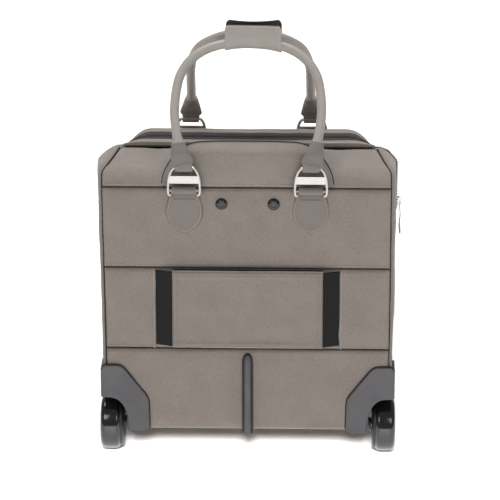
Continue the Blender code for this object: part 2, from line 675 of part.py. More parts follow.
def build_trolley():
    for stage, size, low, high in (
        ("outer", OUTER_TUBE, 0.0584, 0.3960),
        ("middle", MIDDLE_TUBE, 0.0660, 0.4000),
        ("inner", INNER_TUBE, 0.0720, 0.4136),
    ):
        for side, sign in SIDES.items():
            centre = (sign * TUBE_X, TUBE_Y)
            outline = rounded_rectangle(size[0] / 2, size[1] / 2, 0.0025, centre, 2)
            bore = rounded_rectangle(size[0] / 2 - TUBE_WALL, size[1] / 2 - TUBE_WALL, 0.0016, centre, 2)
            plate(f"tube_{stage}_{side}", outline, low, high, 2, "tube", [bore], (*centre, low))

    windows = [rounded_rectangle(OUTER_TUBE[0] / 2 + 0.0004, OUTER_TUBE[1] / 2 + 0.0004, 0.0025,
                                 (s * TUBE_X, TUBE_Y), 2) for s in (-1, 1)]
    outline = rectangle(-0.072, 0.072, -0.0935, -0.0630)
    bracket = plate("trolley_top_bracket", outline, 0.3620, 0.3830, 2, "black_plastic", windows)
    for side, sign in SIDES.items():
        cut = plate(f"cut_rivet_{side}", circle(RIVET_SHANK + 0.0004, (sign * RIVET_X, RIVET_Z), 12),
                    -0.0960, -0.0895, 1, "steel", helper=True)
        combine(bracket, cut, "DIFFERENCE")
        profile = [(-0.0052, 0), (-0.0051, 0.0030), (-0.0044, 0.0055), (-0.0030, 0.0073), (-0.0012, 0.0080),
                   (-0.0005, 0.0080), (-0.0005, RIVET_SHANK), (0.0100, RIVET_SHANK), (0.0100, 0)]
        lathe(f"rivet_{side}", profile, (sign * RIVET_X, -HALF_DEPTH, RIVET_Z), 1, "black_plastic", 20)

    foot = box("trolley_bottom_bracket", (-0.072, -0.0880, 0.0478), (0.072, -0.0620, 0.0640), "black_plastic")
    for side, sign in SIDES.items():
        outline = rounded_rectangle(OUTER_TUBE[0] / 2 + 0.0004, OUTER_TUBE[1] / 2 + 0.0004, 0.0025,
                                    (sign * TUBE_X, TUBE_Y), 2)
        socket = plate(f"cut_socket_{side}", outline, 0.0580, 0.0660, 2, "tube", helper=True)
        combine(foot, socket, "DIFFERENCE")

    half_x, half_y, half_z = (v / 2 for v in GRIP_SIZE)
    outline = rounded_rectangle(half_x, half_y, 0.0070, (0, TUBE_Y), 3)
    grip = plate("trolley_grip", outline, GRIP_Z - half_z, GRIP_Z + half_z, 2, "black_plastic",
                 origin=(0, TUBE_Y, GRIP_Z))
    edge = grip.modifiers.new("soft_edges", "BEVEL")
    edge.width = 0.0035
    edge.segments = 2
    edge.limit_method = "ANGLE"
    outline = rounded_rectangle(0.0146, 0.0066, 0.0040, (0, TUBE_Y), 3)
    top = GRIP_Z + half_z
    pocket = plate("cut_button", outline, top - 0.0090, top + 0.0040, 2, "steel", helper=True)
    combine(grip, pocket, "DIFFERENCE")
    outline = rounded_rectangle(0.0142, 0.0062, 0.0036, (0, TUBE_Y), 3)
    plate("trolley_button", outline, top - 0.0044, top + 0.0020, 2, "steel", origin=(0, TUBE_Y, top))


def build_linings():
    outline = [(-0.160, 0.0480), (0.160, 0.0480), (0.160, 0.0950), (0.192, 0.0950), (0.192, 0.3960)]
    outline += [(0.172, 0.4150), (-0.172, 0.4150), (-0.192, 0.3960), (-0.192, 0.0950), (-0.160, 0.0950)]
    plate("inner_wall", outline, -0.0600, -0.0575, 1, "fabric_inner")
    sleeve = box("laptop_sleeve", (-0.189, -0.0568, 0.0960), (0.189, -0.0330, 0.3450), "fabric_inner")
    space = box("cut_sleeve", (-0.184, -0.0538, 0.1000), (0.184, -0.0375, 0.3600), "fabric", helper=True)
    combine(sleeve, space, "DIFFERENCE")
    pocket = box("front_pocket", (-0.150, 0.1004, 0.0750), (0.150, 0.1110, 0.3000), "fabric")
    space = box("cut_pocket", (-0.147, 0.1024, 0.0770), (0.147, 0.1090, 0.3100), "fabric", helper=True)
    combine(pocket, space, "DIFFERENCE")


def build_guards():
    """The moulded corner guards: a face plate, a side plate and a wheel well, all one piece."""
    for side, sign in SIDES.items():
        front = [(0.1365, 0.0372), (0.1655, 0.0372), (0.1660, 0.0560), (0.1702, 0.0680), (0.1765, 0.0800),
                 (0.1846, 0.0862), (0.2042, 0.0868), (0.2042, 0.1250), (0.2025, 0.1315), (0.1977, 0.1346),
                 (0.1800, 0.1346), (0.1765, 0.1330), (0.1385, 0.0850), (0.1372, 0.0780)]
        name = f"corner_guard_{side}"
        guard = plate(name, [(sign * x, z) for x, z in front], -0.1042, -0.1008, 1, "guard_plastic")
        flank = [(-0.1040, 0.0870), (-0.0600, 0.0868), (-0.0400, 0.0780), (-0.0290, 0.0600), (-0.0270, 0.0372),
                 (-0.0150, 0.0372), (-0.0150, 0.0900), (-0.0190, 0.0980), (-0.0560, 0.1330), (-0.0620, 0.1346),
                 (-0.0960, 0.1346), (-0.1020, 0.1320), (-0.1040, 0.1270)]
        low, high = sorted((sign * 0.2012, sign * 0.2041))
        walls = [plate(f"cut_flank_{side}", flank, low, high, 0, "guard_plastic", helper=True)]
        for label, corner_a, corner_b in (
            ("inner", (0.1652, -0.1012, 0.0374), (0.1682, -0.0222, 0.0915)),
            ("roof", (0.1653, -0.1014, 0.0885), (0.2014, -0.0223, 0.0914)),
            ("rear", (0.1654, -0.0251, 0.0376), (0.2016, -0.0221, 0.0913)),
        ):
            x0, x1 = sorted((sign * corner_a[0], sign * corner_b[0]))
            low, high = (x0, *corner_a[1:]), (x1, *corner_b[1:])
            walls.append(box(f"cut_{label}_{side}", low, high, "guard_plastic", helper=True))
        for wall in walls:
            combine(guard, wall, "UNION")
        boss_low, boss_high = sorted((sign * 0.1655, sign * 0.1770))
        boss = plate(f"cut_boss_{side}", circle(0.0085, (WHEEL_Y, WHEEL_RADIUS + 0.0080), 20),
                     boss_low, boss_high, 0, "steel", helper=True)
        combine(guard, boss, "UNION")
        bore = plate(f"cut_bore_{side}", circle(AXLE_RADIUS + 0.0003, (WHEEL_Y, WHEEL_RADIUS), 16),
                     *sorted((sign * 0.1500, sign * 0.1800)), 0, "steel", helper=True)
        combine(guard, bore, "DIFFERENCE")


def build_wheels():
    for side, sign in SIDES.items():
        inner, outer = WHEEL_X
        centre_x = (inner + outer) / 2
        half = (outer - inner) / 2
        section = [(-half, BORE_RADIUS), (-half, 0.0100), (-half + 0.0030, 0.0115), (-half + 0.0030, 0.0220),
                   (-half + 0.0004, 0.0245), (-half + 0.0006, 0.0320), (-half + 0.0040, 0.0362),
                   (-half + 0.0085, 0.0378), (0, WHEEL_RADIUS)]
        mirrored = [(-a, r) for a, r in reversed(section[:-1])]
        profile = [(sign * a, r) for a, r in section + mirrored]
        centre = (sign * centre_x, WHEEL_Y, WHEEL_RADIUS)
        lathe(f"wheel_{side}", profile, centre, 0, "wheel", 40)
        start, end = 0.1656, 0.2050
        shaft = [(start, 0), (start, AXLE_RADIUS)]
        shaft += [(0.1800, AXLE_RADIUS), (end, AXLE_RADIUS), (end, 0)]
        lathe(f"axle_{side}", [(sign * a, r) for a, r in shaft], (0, WHEEL_Y, WHEEL_RADIUS), 0, "steel", 20,
              (sign * start, WHEEL_Y, WHEEL_RADIUS))


def build_base_trim():
    columns = [(-0.0078, 0.0018), (-0.0060, 0.0026), (-0.0040, 0.0030), (-0.0030, 0.0068), (-0.0014, 0.0082),
               (0.0014, 0.0082), (0.0030, 0.0068), (0.0040, 0.0030), (0.0060, 0.0026), (0.0078, 0.0018)]
    outer, inner = [], []
    for z, spread, rise in ((0.0345, 0.9, 0.8), (0.0375, 1.0, 1.0), (0.0700, 1.0, 1.0), (0.1100, 1.0, 1.0),
                            (0.1380, 1.0, 1.0), (0.1450, 0.92, 0.9), (0.1500, 0.7, 0.6), (0.1534, 0.3, 0.35)):
        outer.append([(x * spread, -HALF_DEPTH - 0.0004 - depth * rise, z) for x, depth in columns])
        inner.append([(x * spread, -HALF_DEPTH - 0.0004, z) for x, depth in columns])
    shell("skid_rail", outer, inner, "black_plastic")
    for side, sign in SIDES.items():
        profile = [(0, 0), (0, 0.0130), (0.0012, 0.0142), (0.0240, 0.0158), (0.0330, 0.0190), (0.0396, 0.0200),
                   (0.0396, 0)]
        lathe(f"foot_{side}", profile, (sign * 0.165, 0.0730, 0), 2, "black_plastic", 24)


def main():
    clear_scene()
    build_case_panels()
    build_side_gussets()
    build_piping()
    build_zip()
    build_back_trim()
    build_tabs_and_buckles()
    build_handles()
    build_trolley()
    build_linings()
    build_guards()
    build_wheels()
    build_base_trim()


main()
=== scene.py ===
import math

import bmesh
import bpy
import numpy as np
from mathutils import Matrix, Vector


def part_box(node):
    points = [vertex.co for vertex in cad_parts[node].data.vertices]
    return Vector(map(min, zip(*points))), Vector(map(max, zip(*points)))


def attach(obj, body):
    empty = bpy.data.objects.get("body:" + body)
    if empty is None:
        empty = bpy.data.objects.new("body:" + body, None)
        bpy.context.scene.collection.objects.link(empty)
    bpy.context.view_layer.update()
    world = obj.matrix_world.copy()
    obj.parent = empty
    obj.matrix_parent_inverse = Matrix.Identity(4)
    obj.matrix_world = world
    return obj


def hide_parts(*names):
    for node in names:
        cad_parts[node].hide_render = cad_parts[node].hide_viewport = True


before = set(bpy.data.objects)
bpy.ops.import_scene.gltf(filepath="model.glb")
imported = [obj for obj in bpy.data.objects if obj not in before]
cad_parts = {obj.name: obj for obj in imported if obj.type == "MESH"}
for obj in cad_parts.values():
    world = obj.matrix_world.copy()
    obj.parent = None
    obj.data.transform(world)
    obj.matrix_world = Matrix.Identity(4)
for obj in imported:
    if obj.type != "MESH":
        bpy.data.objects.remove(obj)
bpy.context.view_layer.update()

# Sizes read from the frame, in metres
HALF_DEPTH = -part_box("back_band_upper")[0].y
BASE_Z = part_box("side_gusset_right")[0].z
ZIP_LOW, ZIP_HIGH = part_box("zip_gusset_back")
ZIP_HALF_SPAN = -ZIP_LOW.y
ZIP_END_X = ZIP_HIGH.x
TAB_X = (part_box("handle_tab_back_right")[0].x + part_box("handle_tab_back_right")[1].x) / 2
BUCKLE_LOW, BUCKLE_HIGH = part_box("buckle_front_right")
PIN_Y = (BUCKLE_LOW.y + BUCKLE_HIGH.y) / 2
WHEEL_LOW, WHEEL_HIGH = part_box("wheel_right")
WHEEL_RADIUS = (WHEEL_HIGH.z - WHEEL_LOW.z) / 2
WHEEL_Y = (WHEEL_LOW.y + WHEEL_HIGH.y) / 2
SLEEVE_LOW, SLEEVE_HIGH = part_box("trolley_sleeve")
POCKET_LOW, POCKET_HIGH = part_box("front_pocket")

# Shape of the case, following the CAD
HALF_WIDTH = 0.200
SHOULDER_Z = 0.420
CROWN_Z = 0.431
SHOULDER_RADIUS = 0.022
EDGE_GAP = 0.0040
PIPING_INSET = 0.0018
SEAMS = (0.1590, 0.2780, 0.3940)
SIDE_BULGE = 0.0035
WELL_X, WELL_Y, WELL_Z = 0.1635, -0.0200, 0.0930
SLOT_X = 0.079
ZIP_RISE, ZIP_DROP = 0.0062, 0.0050
LOWER_PIN_Z, UPPER_PIN_Z = 0.3945, 0.4265
LOOP_RADIUS = 0.0043
LEATHER = 0.0022
LEAN_START_Z, LEAN = 0.447, 0.725
WRAP_X, WRAP_HALF_LENGTH = 0.0055, 0.0385
HANDLE_LINES = {
    "back": [(0.0868, 0.447), (0.0912, 0.460), (0.0962, 0.473), (0.0992, 0.487), (0.0996, 0.500),
             (0.0978, 0.519), (0.0933, 0.539), (0.0805, 0.5585), (0.0590, 0.5725), (0.0316, 0.5800),
             (0, 0.5825)],
    "front": [(0.0850, 0.447), (0.0846, 0.460), (0.0842, 0.473), (0.0840, 0.487), (0.0838, 0.500),
              (0.0828, 0.519), (0.0790, 0.537), (0.0700, 0.5530), (0.0540, 0.5650), (0.0330, 0.5740),
              (0, 0.5790)],
}
SIDES = {"left": -1, "right": 1}
FACES = {"back": -1, "front": 1}
MIDDLE = np.array((0.0, 0.0, 0.24))
CELL = 0.0022

# Where the visual model differs from the CAD: the top falls further (0.0235 there), the upper left corner leans out,
# the tyres are wider and set further in, the handles are thinner (0.0070 there) and the wrap's tops are moved
SLUMP = 0.0270
FLARE = 0.0036
TYRE_GROWTH, TYRE_INSET = 0.0014, 0.0020
HANDLE_RADIUS = 0.0064
WRAP_TOP = {"back": 0.0190, "front": 0.0174}

# The two rolled handles as they hang in the wrap, the front one higher: the CAD's lines, moved
ROLLED_LINES = {
    "back": [(0.0916, 0.447), (0.0938, 0.460), (0.0966, 0.473), (0.0990, 0.487), (0.0996, 0.500), (0.0978, 0.519),
             (0.0924, 0.538), (0.0790, 0.5552), (0.0584, 0.5676), (0.0316, 0.5745), (0, 0.5772)],
    "front": [*HANDLE_LINES["front"][:6], (0.0790, 0.5375), (0.0704, 0.5545), (0.0548, 0.5670), (0.0332, 0.5764),
              (0, 0.5815)],
}

# The outside and the inside of a case panel, and the pitch and length of the case's stitches
CLOTH = ["case_fabric", "lining"]
CASE_STITCH = (0.0034, 0.0025)

# Colours, linear
FABRIC = (0.245, 0.211, 0.186)
# Painted highlight: the case fabric made lighter, for the light that catches its rolled and folded edges
FABRIC_HIGHLIT = (0.330, 0.292, 0.260)
LEATHER_TONE = (0.150, 0.127, 0.114)
HANDLE_TONE = (0.275, 0.248, 0.226)
THREAD = (0.50, 0.45, 0.41)


# ---------------------------------------------------------------- materials


class Look:
    """A Principled material as it is wired up."""

    def __init__(self, name, **sockets):
        self.material = bpy.data.materials.new(name)
        self.material.use_nodes = True
        self.tree = self.material.node_tree
        self.shader = self.tree.nodes["Principled BSDF"]
        for socket, value in sockets.items():
            self.shader.inputs[socket.replace("_", " ")].default_value = value

    def feed(self, socket, value):
        if isinstance(value, bpy.types.Node):
            value = value.outputs[0]
        if isinstance(value, bpy.types.NodeSocket):
            self.tree.links.new(value, socket)
        else:
            socket.default_value = value

    def node(self, kind, inputs=None, **settings):
        made = self.tree.nodes.new("ShaderNode" + kind)
        for key, value in settings.items():
            setattr(made, key, value)
        for key, value in (inputs or {}).items():
            self.feed(made.inputs[key], value)
        return made

    def cloth(self):
        return self.node("UVMap", uv_map="cloth").outputs[0]

    def place(self):
        return self.node("TexCoord").outputs["Object"]

    def scaled(self, where, x, y, z=1.0):
        return self.node("Mapping", {0: where, 3: (x, y, z)})

    def math(self, operation, a, b=0.0):
        return self.node("Math", {0: a, 1: b}, operation=operation)

    def noise(self, where, scale, detail=3.0, roughness=0.55):
        values = {"Vector": where, "Scale": scale, "Detail": detail, "Roughness": roughness}
        return self.node("TexNoise", values)

    def ramp(self, value, low, high, start=0.35, end=0.65):
        made = self.node("ValToRGB", {0: value})
        first, last = made.color_ramp.elements
        first.position, last.position = start, end
        first.color, last.color = (*low, 1), (*high, 1)
        return made

    def blend(self, share, a, b, kind="MIX"):
        def colour(value):
            return (*value, 1) if isinstance(value, tuple) and len(value) == 3 else value

        made = self.node("Mix", data_type="RGBA", blend_type=kind)
        for index, value in ((0, share), (6, colour(a)), (7, colour(b))):
            self.feed(made.inputs[index], value)
        return made.outputs[2]

    def bump(self, height, distance, strength=1.0, below=None):
        values = {"Height": height, "Distance": distance, "Strength": strength}
        if below is not None:
            values["Normal"] = below
        return self.node("Bump", values)

    def spread(self, value, low, high):
        return self.node("MapRange", {0: value, 3: low, 4: high})

    def finish(self, colour=None, roughness=None, normal=None):
        for label, value in (("Base Color", colour), ("Roughness", roughness), ("Normal", normal)):
            if value is not None:
                self.feed(self.shader.inputs[label], value)
        return self.material


def shade(colour, factor):
    return tuple(c * factor for c in colour)


def woven(name, colour, pitch=0.00062, contrast=0.16, relief=0.00016, diagonal=False, sheen=0.25, rough=0.86):
    """A plain or twill weave of slightly uneven threads, laid out along the cloth."""
    look = Look(name, Sheen_Weight=sheen, Sheen_Roughness=0.45, Specular_IOR_Level=0.22)
    where = look.cloth()
    parts = look.node("SeparateXYZ", {0: where})
    turns = 2 * math.pi / pitch
    if diagonal:
        across = look.math("ADD", parts.outputs[0], parts.outputs[1])
        weave = look.math("SINE", look.math("MULTIPLY", across, turns))
    else:
        warp = look.math("SINE", look.math("MULTIPLY", parts.outputs[0], turns))
        weft = look.math("SINE", look.math("MULTIPLY", parts.outputs[1], turns))
        weave = look.math("MULTIPLY", warp, weft)
    warp_threads = look.noise(look.scaled(where, 1900, 150), 1.0, 2)
    weft_threads = look.noise(look.scaled(where, 150, 1900), 1.0, 2)
    threads = look.math("MULTIPLY", look.math("ADD", warp_threads, weft_threads), 0.5)
    heather = look.noise(where, 420, 3, 0.7)
    cloud = look.noise(where, 22, 4, 0.6)
    tone = look.ramp(threads, shade(colour, 1 - contrast * 1.5), shade(colour, 1 + contrast * 1.5), 0.36, 0.64)
    tone = look.blend(0.45, tone, look.ramp(heather, shade(colour, 0.78), shade(colour, 1.24)))
    tone = look.blend(look.spread(weave, 0.0, 0.22), tone, shade(colour, 1.18))
    tone = look.blend(0.55, tone, look.ramp(cloud, (0.90, 0.90, 0.90), (1.09, 1.09, 1.09)), "MULTIPLY")
    soft = look.bump(look.noise(where, 90, 3), 0.0006, 0.35)
    fine = look.bump(threads, relief * 1.4, 0.8, soft)
    normal = look.bump(weave, relief, 0.8, fine)
    return look.finish(tone, look.spread(heather, rough - 0.08, min(rough + 0.08, 1)), normal)


def hide(name, colour, grain=760, rough=0.5, relief=0.00014):
    """Smooth grained leather, with fine pores, creases and slightly rubbed high spots."""
    look = Look(name, Specular_IOR_Level=0.42, Coat_Weight=0.06, Coat_Roughness=0.35, Sheen_Weight=0.06)
    where = look.place()
    pebbles = look.node("TexVoronoi", {"Vector": where, "Scale": grain}, feature="SMOOTH_F1")
    pores = look.noise(where, grain * 2.2, 2)
    creases = look.noise(look.scaled(where, 1, 1, 0.5), 130, 5, 0.65)
    cloud = look.noise(where, 26, 3)
    tone = look.ramp(pebbles, shade(colour, 1.10), shade(colour, 0.84), 0.15, 0.75)
    tone = look.blend(0.5, tone, look.ramp(cloud, shade(colour, 0.90), shade(colour, 1.12)))
    tone = look.blend(look.spread(creases, 0.0, 0.30), tone, shade(colour, 1.22))
    edge = look.node("NewGeometry").outputs["Pointiness"]
    tone = look.blend(look.ramp(edge, (0, 0, 0), (0.5, 0.5, 0.5), 0.52, 0.60), tone, shade(colour, 1.35))
    first = look.bump(creases, 0.0009, 0.30)
    second = look.bump(pores, relief * 0.5, 0.5, first)
    normal = look.bump(look.math("SUBTRACT", 1.0, pebbles), relief, 0.55, second)
    return look.finish(tone, look.spread(creases, rough - 0.10, rough + 0.14), normal)


def metal(name, colour, rough=0.3, brushed=(40, 40, 2600), relief=0.00003, anisotropic=0.35):
    """Brushed metal with fine lines along one way and faint handling marks."""
    look = Look(name, Metallic=1.0, Anisotropic=anisotropic)
    where = look.place()
    lines = look.noise(look.scaled(where, *brushed), 1.0, 3, 0.6)
    marks = look.noise(where, 240, 4, 0.7)
    tone = look.ramp(lines, shade(colour, 0.84), shade(colour, 1.08))
    tone = look.blend(look.spread(marks, 0.0, 0.25), tone, shade(colour, 0.80))
    roughness = look.math("ADD", look.spread(lines, rough - 0.07, rough + 0.07), look.spread(marks, -0.05, 0.08))
    return look.finish(tone, roughness, look.bump(lines, relief, 0.6))


def moulded(name, colour, rough=0.45, grain=1500, relief=0.00006, coat=0.0, specular=0.5):
    """Moulded plastic or rubber with a fine spark-eroded grain and light scuffs."""
    look = Look(name, Specular_IOR_Level=specular, Coat_Weight=coat, Coat_Roughness=0.12)
    where = look.place()
    texture = look.noise(where, grain, 2, 0.5)
    scuffs = look.noise(look.scaled(where, 60, 60, 420), 1.0, 5, 0.7)
    cloud = look.noise(where, 35, 3)
    tone = look.ramp(cloud, shade(colour, 0.88), shade(colour, 1.14))
    tone = look.blend(look.ramp(scuffs, (0, 0, 0), (0.25, 0.25, 0.25), 0.62, 0.74), tone, shade(colour, 2.0))
    edge = look.node("NewGeometry").outputs["Pointiness"]
    tone = look.blend(look.ramp(edge, (0, 0, 0), (0.4, 0.4, 0.4), 0.53, 0.62), tone, shade(colour, 1.9))
    roughness = look.math("ADD", look.spread(texture, rough - 0.05, rough + 0.06), look.spread(scuffs, -0.03, 0.06))
    return look.finish(tone, roughness, look.bump(texture, relief, 0.6))


def ribbed(name, colour, pitch, relief):
    """Knitted elastic: ribs along the cloth with a fine cross stitch."""
    look = Look(name, Sheen_Weight=0.06, Sheen_Roughness=0.5, Specular_IOR_Level=0.12)
    where = look.cloth()
    parts = look.node("SeparateXYZ", {0: where})
    ribs = look.math("SINE", look.math("MULTIPLY", parts.outputs[0], 2 * math.pi / pitch))
    knit = look.math("SINE", look.math("MULTIPLY", parts.outputs[1], 2 * math.pi / (pitch * 0.6)))
    fuzz = look.noise(where, 900, 3)
    tone = look.ramp(look.spread(ribs, 0.3, 0.7), shade(colour, 0.55), shade(colour, 1.5))
    tone = look.blend(look.spread(fuzz, 0.0, 0.35), tone, shade(colour, 1.9))
    normal = look.bump(knit, relief * 0.4, 0.6, look.bump(ribs, relief, 0.9))
    return look.finish(tone, look.spread(fuzz, 0.75, 0.95), normal)


def pale_floor():
    look = Look("floor_matt", Specular_IOR_Level=0.25)
    where = look.place()
    cloud = look.noise(where, 1.5, 3)
    return look.finish(look.ramp(cloud, (0.90, 0.90, 0.895), (0.925, 0.925, 0.92)), 0.55)


LOOKS = {
    "case_fabric": woven("case_fabric", FABRIC),
    "piping_fabric": woven("piping_fabric", shade(FABRIC, 0.92), 0.0006, 0.2, 0.00012, diagonal=True),
    # Painted highlight: binding is the case fabric lightened, for light on the rolled zip rims, sleeve edges and welts
    "binding": woven("binding", FABRIC_HIGHLIT, 0.0007, 0.10, 0.00016, diagonal=True),
    "lining": woven("lining", (0.045, 0.042, 0.040), 0.0016, 0.25, 0.00010, sheen=0.4, rough=0.7),
    "zip_tape": woven("zip_tape", (0.040, 0.036, 0.036), 0.0008, 0.22, 0.00014, diagonal=True, sheen=0.05, rough=0.8),
    # Painted shade: the two seam looks below are near-black cloth for cords and a sheet laid in seams, folds and gaps,
    # standing in for their shadows
    "seam": woven("seam_painted_shade", (0.028, 0.023, 0.019), 0.0008, 0.15, 0.00008, sheen=0.02, rough=0.9),
    "seam_soft": woven("seam_shade_pale", (0.060, 0.050, 0.042), 0.0008, 0.15, 0.00008, sheen=0.02, rough=0.9),
    "coil": moulded("zip_coil", (0.060, 0.055, 0.058), 0.45, 2600, 0.00002, 0.0, 0.3),
    "elastic": ribbed("elastic_knit", (0.014, 0.014, 0.014), 0.0013, 0.00022),
    "leather": hide("tab_leather", LEATHER_TONE),
    "handle": hide("handle_leather", HANDLE_TONE, 820, 0.44),
    "leather_inside": hide("leather_inside", (0.011, 0.008, 0.007), 500, 0.55),
    "thread": woven("sewing_thread", THREAD, 0.0005, 0.15, 0.00005, rough=0.7),
    "thread_dark": woven("sewing_thread_dark", shade(FABRIC, 0.6), 0.0005, 0.15, 0.00005, rough=0.7),
    "thread_deep": woven("sewing_thread_deep", shade(LEATHER_TONE, 0.22), 0.0005, 0.15, 0.00005, rough=0.8),
    "nickel": metal("brushed_nickel", (0.46, 0.44, 0.42), 0.34, (60, 60, 2400), 0.00003),
    "zip_metal": metal("zip_metal", (0.50, 0.49, 0.48), 0.24, (500, 500, 500), 0.00002, 0.1),
    "axle_steel": metal("axle_steel", (0.72, 0.71, 0.70), 0.24, (30, 2600, 2600), 0.00002),
    "aluminium": metal("anodised_tube", (0.62, 0.63, 0.65), 0.34, (2400, 2400, 14), 0.00003),
    "button_metal": metal("button_metal", (0.45, 0.45, 0.46), 0.3, (900, 30, 30), 0.00003),
    "black_plastic": moulded("black_plastic", (0.022, 0.022, 0.023), 0.36, 1800, 0.00004),
    "rivet": moulded("rivet_black", (0.006, 0.005, 0.005), 0.16, 2600, 0.00001, 0.3, 0.4),
    "guard": moulded("guard_plastic", (0.062, 0.058, 0.063), 0.46, 1300, 0.00007),
    "skid": moulded("skid_plastic", (0.008, 0.007, 0.008), 0.40, 1500, 0.00004, 0.0, 0.35),
    "wheel": moulded("wheel_polymer", (0.004, 0.004, 0.005), 0.13, 900, 0.00001, 0.5, 0.5),
    "hub": moulded("hub_plastic", (0.010, 0.010, 0.011), 0.34, 1500, 0.00004),
    "rubber": moulded("foot_rubber", (0.016, 0.016, 0.016), 0.66, 1100, 0.00009),
}


# ---------------------------------------------------------------- shapes


def unit(v):
    return v / np.maximum(np.linalg.norm(v, axis=-1, keepdims=True), 1e-12)


def distances(points):
    """How far along a polyline each of its points is."""
    return np.concatenate([[0], np.cumsum(np.linalg.norm(np.diff(points, axis=0), axis=1))])


def even(points, step=None, count=None):
    """The polyline again, with evenly spaced points."""
    p = np.asarray(points, float)
    along = distances(p)
    count = count or max(int(round(along[-1] / step)) + 1, 2)
    at = np.linspace(0, along[-1], count)
    return np.stack([np.interp(at, along, p[:, k]) for k in range(p.shape[1])], axis=1)


def smooth(points, step=None, count=None):
    """Evenly spaced points along a smooth curve through the given ones."""
    p = np.asarray(points, float)
    p = np.vstack([2 * p[0] - p[1], p, 2 * p[-1] - p[-2]])
    t = np.linspace(0, 1, 16, endpoint=False)[:, None]
    runs = []
    for a, b, c, d in zip(p, p[1:], p[2:], p[3:]):
        runs.append(0.5 * (2 * b + (c - a) * t + (2 * a - 5 * b + 4 * c - d) * t**2
                           + (3 * b - a - 3 * c + d) * t**3))
    return even(np.vstack([*runs, p[-2:-1]]), step, count)


def ripple(points, size, seed, waves=12):
    """A smooth, repeatable random field from about -1 to 1, with lumps of that size."""
    draw = np.random.default_rng(seed)
    total = np.zeros(points.shape[:-1])
    for _ in range(waves):
        way = unit(draw.normal(size=3))
        total += np.sin(points @ way * (2 * math.pi / (size * draw.uniform(0.7, 1.7))) + draw.uniform(0, 6.28))
    return total / math.sqrt(waves)


def ease(t):
    t = np.clip(t, 0, 1)
    return t * t * (3 - 2 * t)


def lengths(grid):
    """Distance from the first row and from the first column, along the surface."""
    down = np.concatenate([np.zeros((1, grid.shape[1])),
                           np.cumsum(np.linalg.norm(np.diff(grid, axis=0), axis=2), axis=0)])
    across = np.concatenate([np.zeros((grid.shape[0], 1)),
                             np.cumsum(np.linalg.norm(np.diff(grid, axis=1), axis=2), axis=1)], axis=1)
    return down, across


def spread_out(x, y, z, rows, columns):
    """A grid of points from its coordinates."""
    grid = np.zeros((rows, columns, 3))
    grid[..., 0], grid[..., 1], grid[..., 2] = x, y, z
    return grid


def facing(grid, away=MIDDLE):
    """The grid, turned so that its normals point away from a place, and the normals."""
    normals = unit(np.cross(np.gradient(grid, axis=1), np.gradient(grid, axis=0)))
    if (normals * (grid - away)).sum(axis=2).mean() < 0:
        return grid[:, ::-1], -normals[:, ::-1], True
    return grid, normals, False


def quads(rows, columns):
    """The corner numbers of each cell of a grid of points."""
    i, j = np.meshgrid(np.arange(rows - 1), np.arange(columns - 1), indexing="ij")
    return np.stack([i * columns + j, i * columns + j + 1, (i + 1) * columns + j + 1, (i + 1) * columns + j], -1)


def made(name, points, faces, looks, body, replaces=(), slot=None, marks=None, uvs=None, smooth_shaded=True):
    """A mesh object that rides on a body."""
    mesh = bpy.data.meshes.new(name)
    mesh.from_pydata([tuple(p) for p in np.asarray(points, float)], [], faces)
    for look in looks:
        mesh.materials.append(LOOKS[look])
    if marks is not None:
        mesh.polygons.foreach_set("material_index", marks)
    if uvs is not None:
        layer = mesh.uv_layers.new(name="cloth")
        loops = np.zeros(len(mesh.loops), np.int32)
        mesh.loops.foreach_get("vertex_index", loops)
        layer.data.foreach_set("uv", np.asarray(uvs, np.float32)[loops].ravel())
    mesh.polygons.foreach_set("use_smooth", [smooth_shaded] * len(mesh.polygons))
    mesh.validate()
    obj = bpy.data.objects.new(name, mesh)
    bpy.context.scene.collection.objects.link(obj)
    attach(obj, body)
    if replaces:
        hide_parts(*replaces)
    return obj


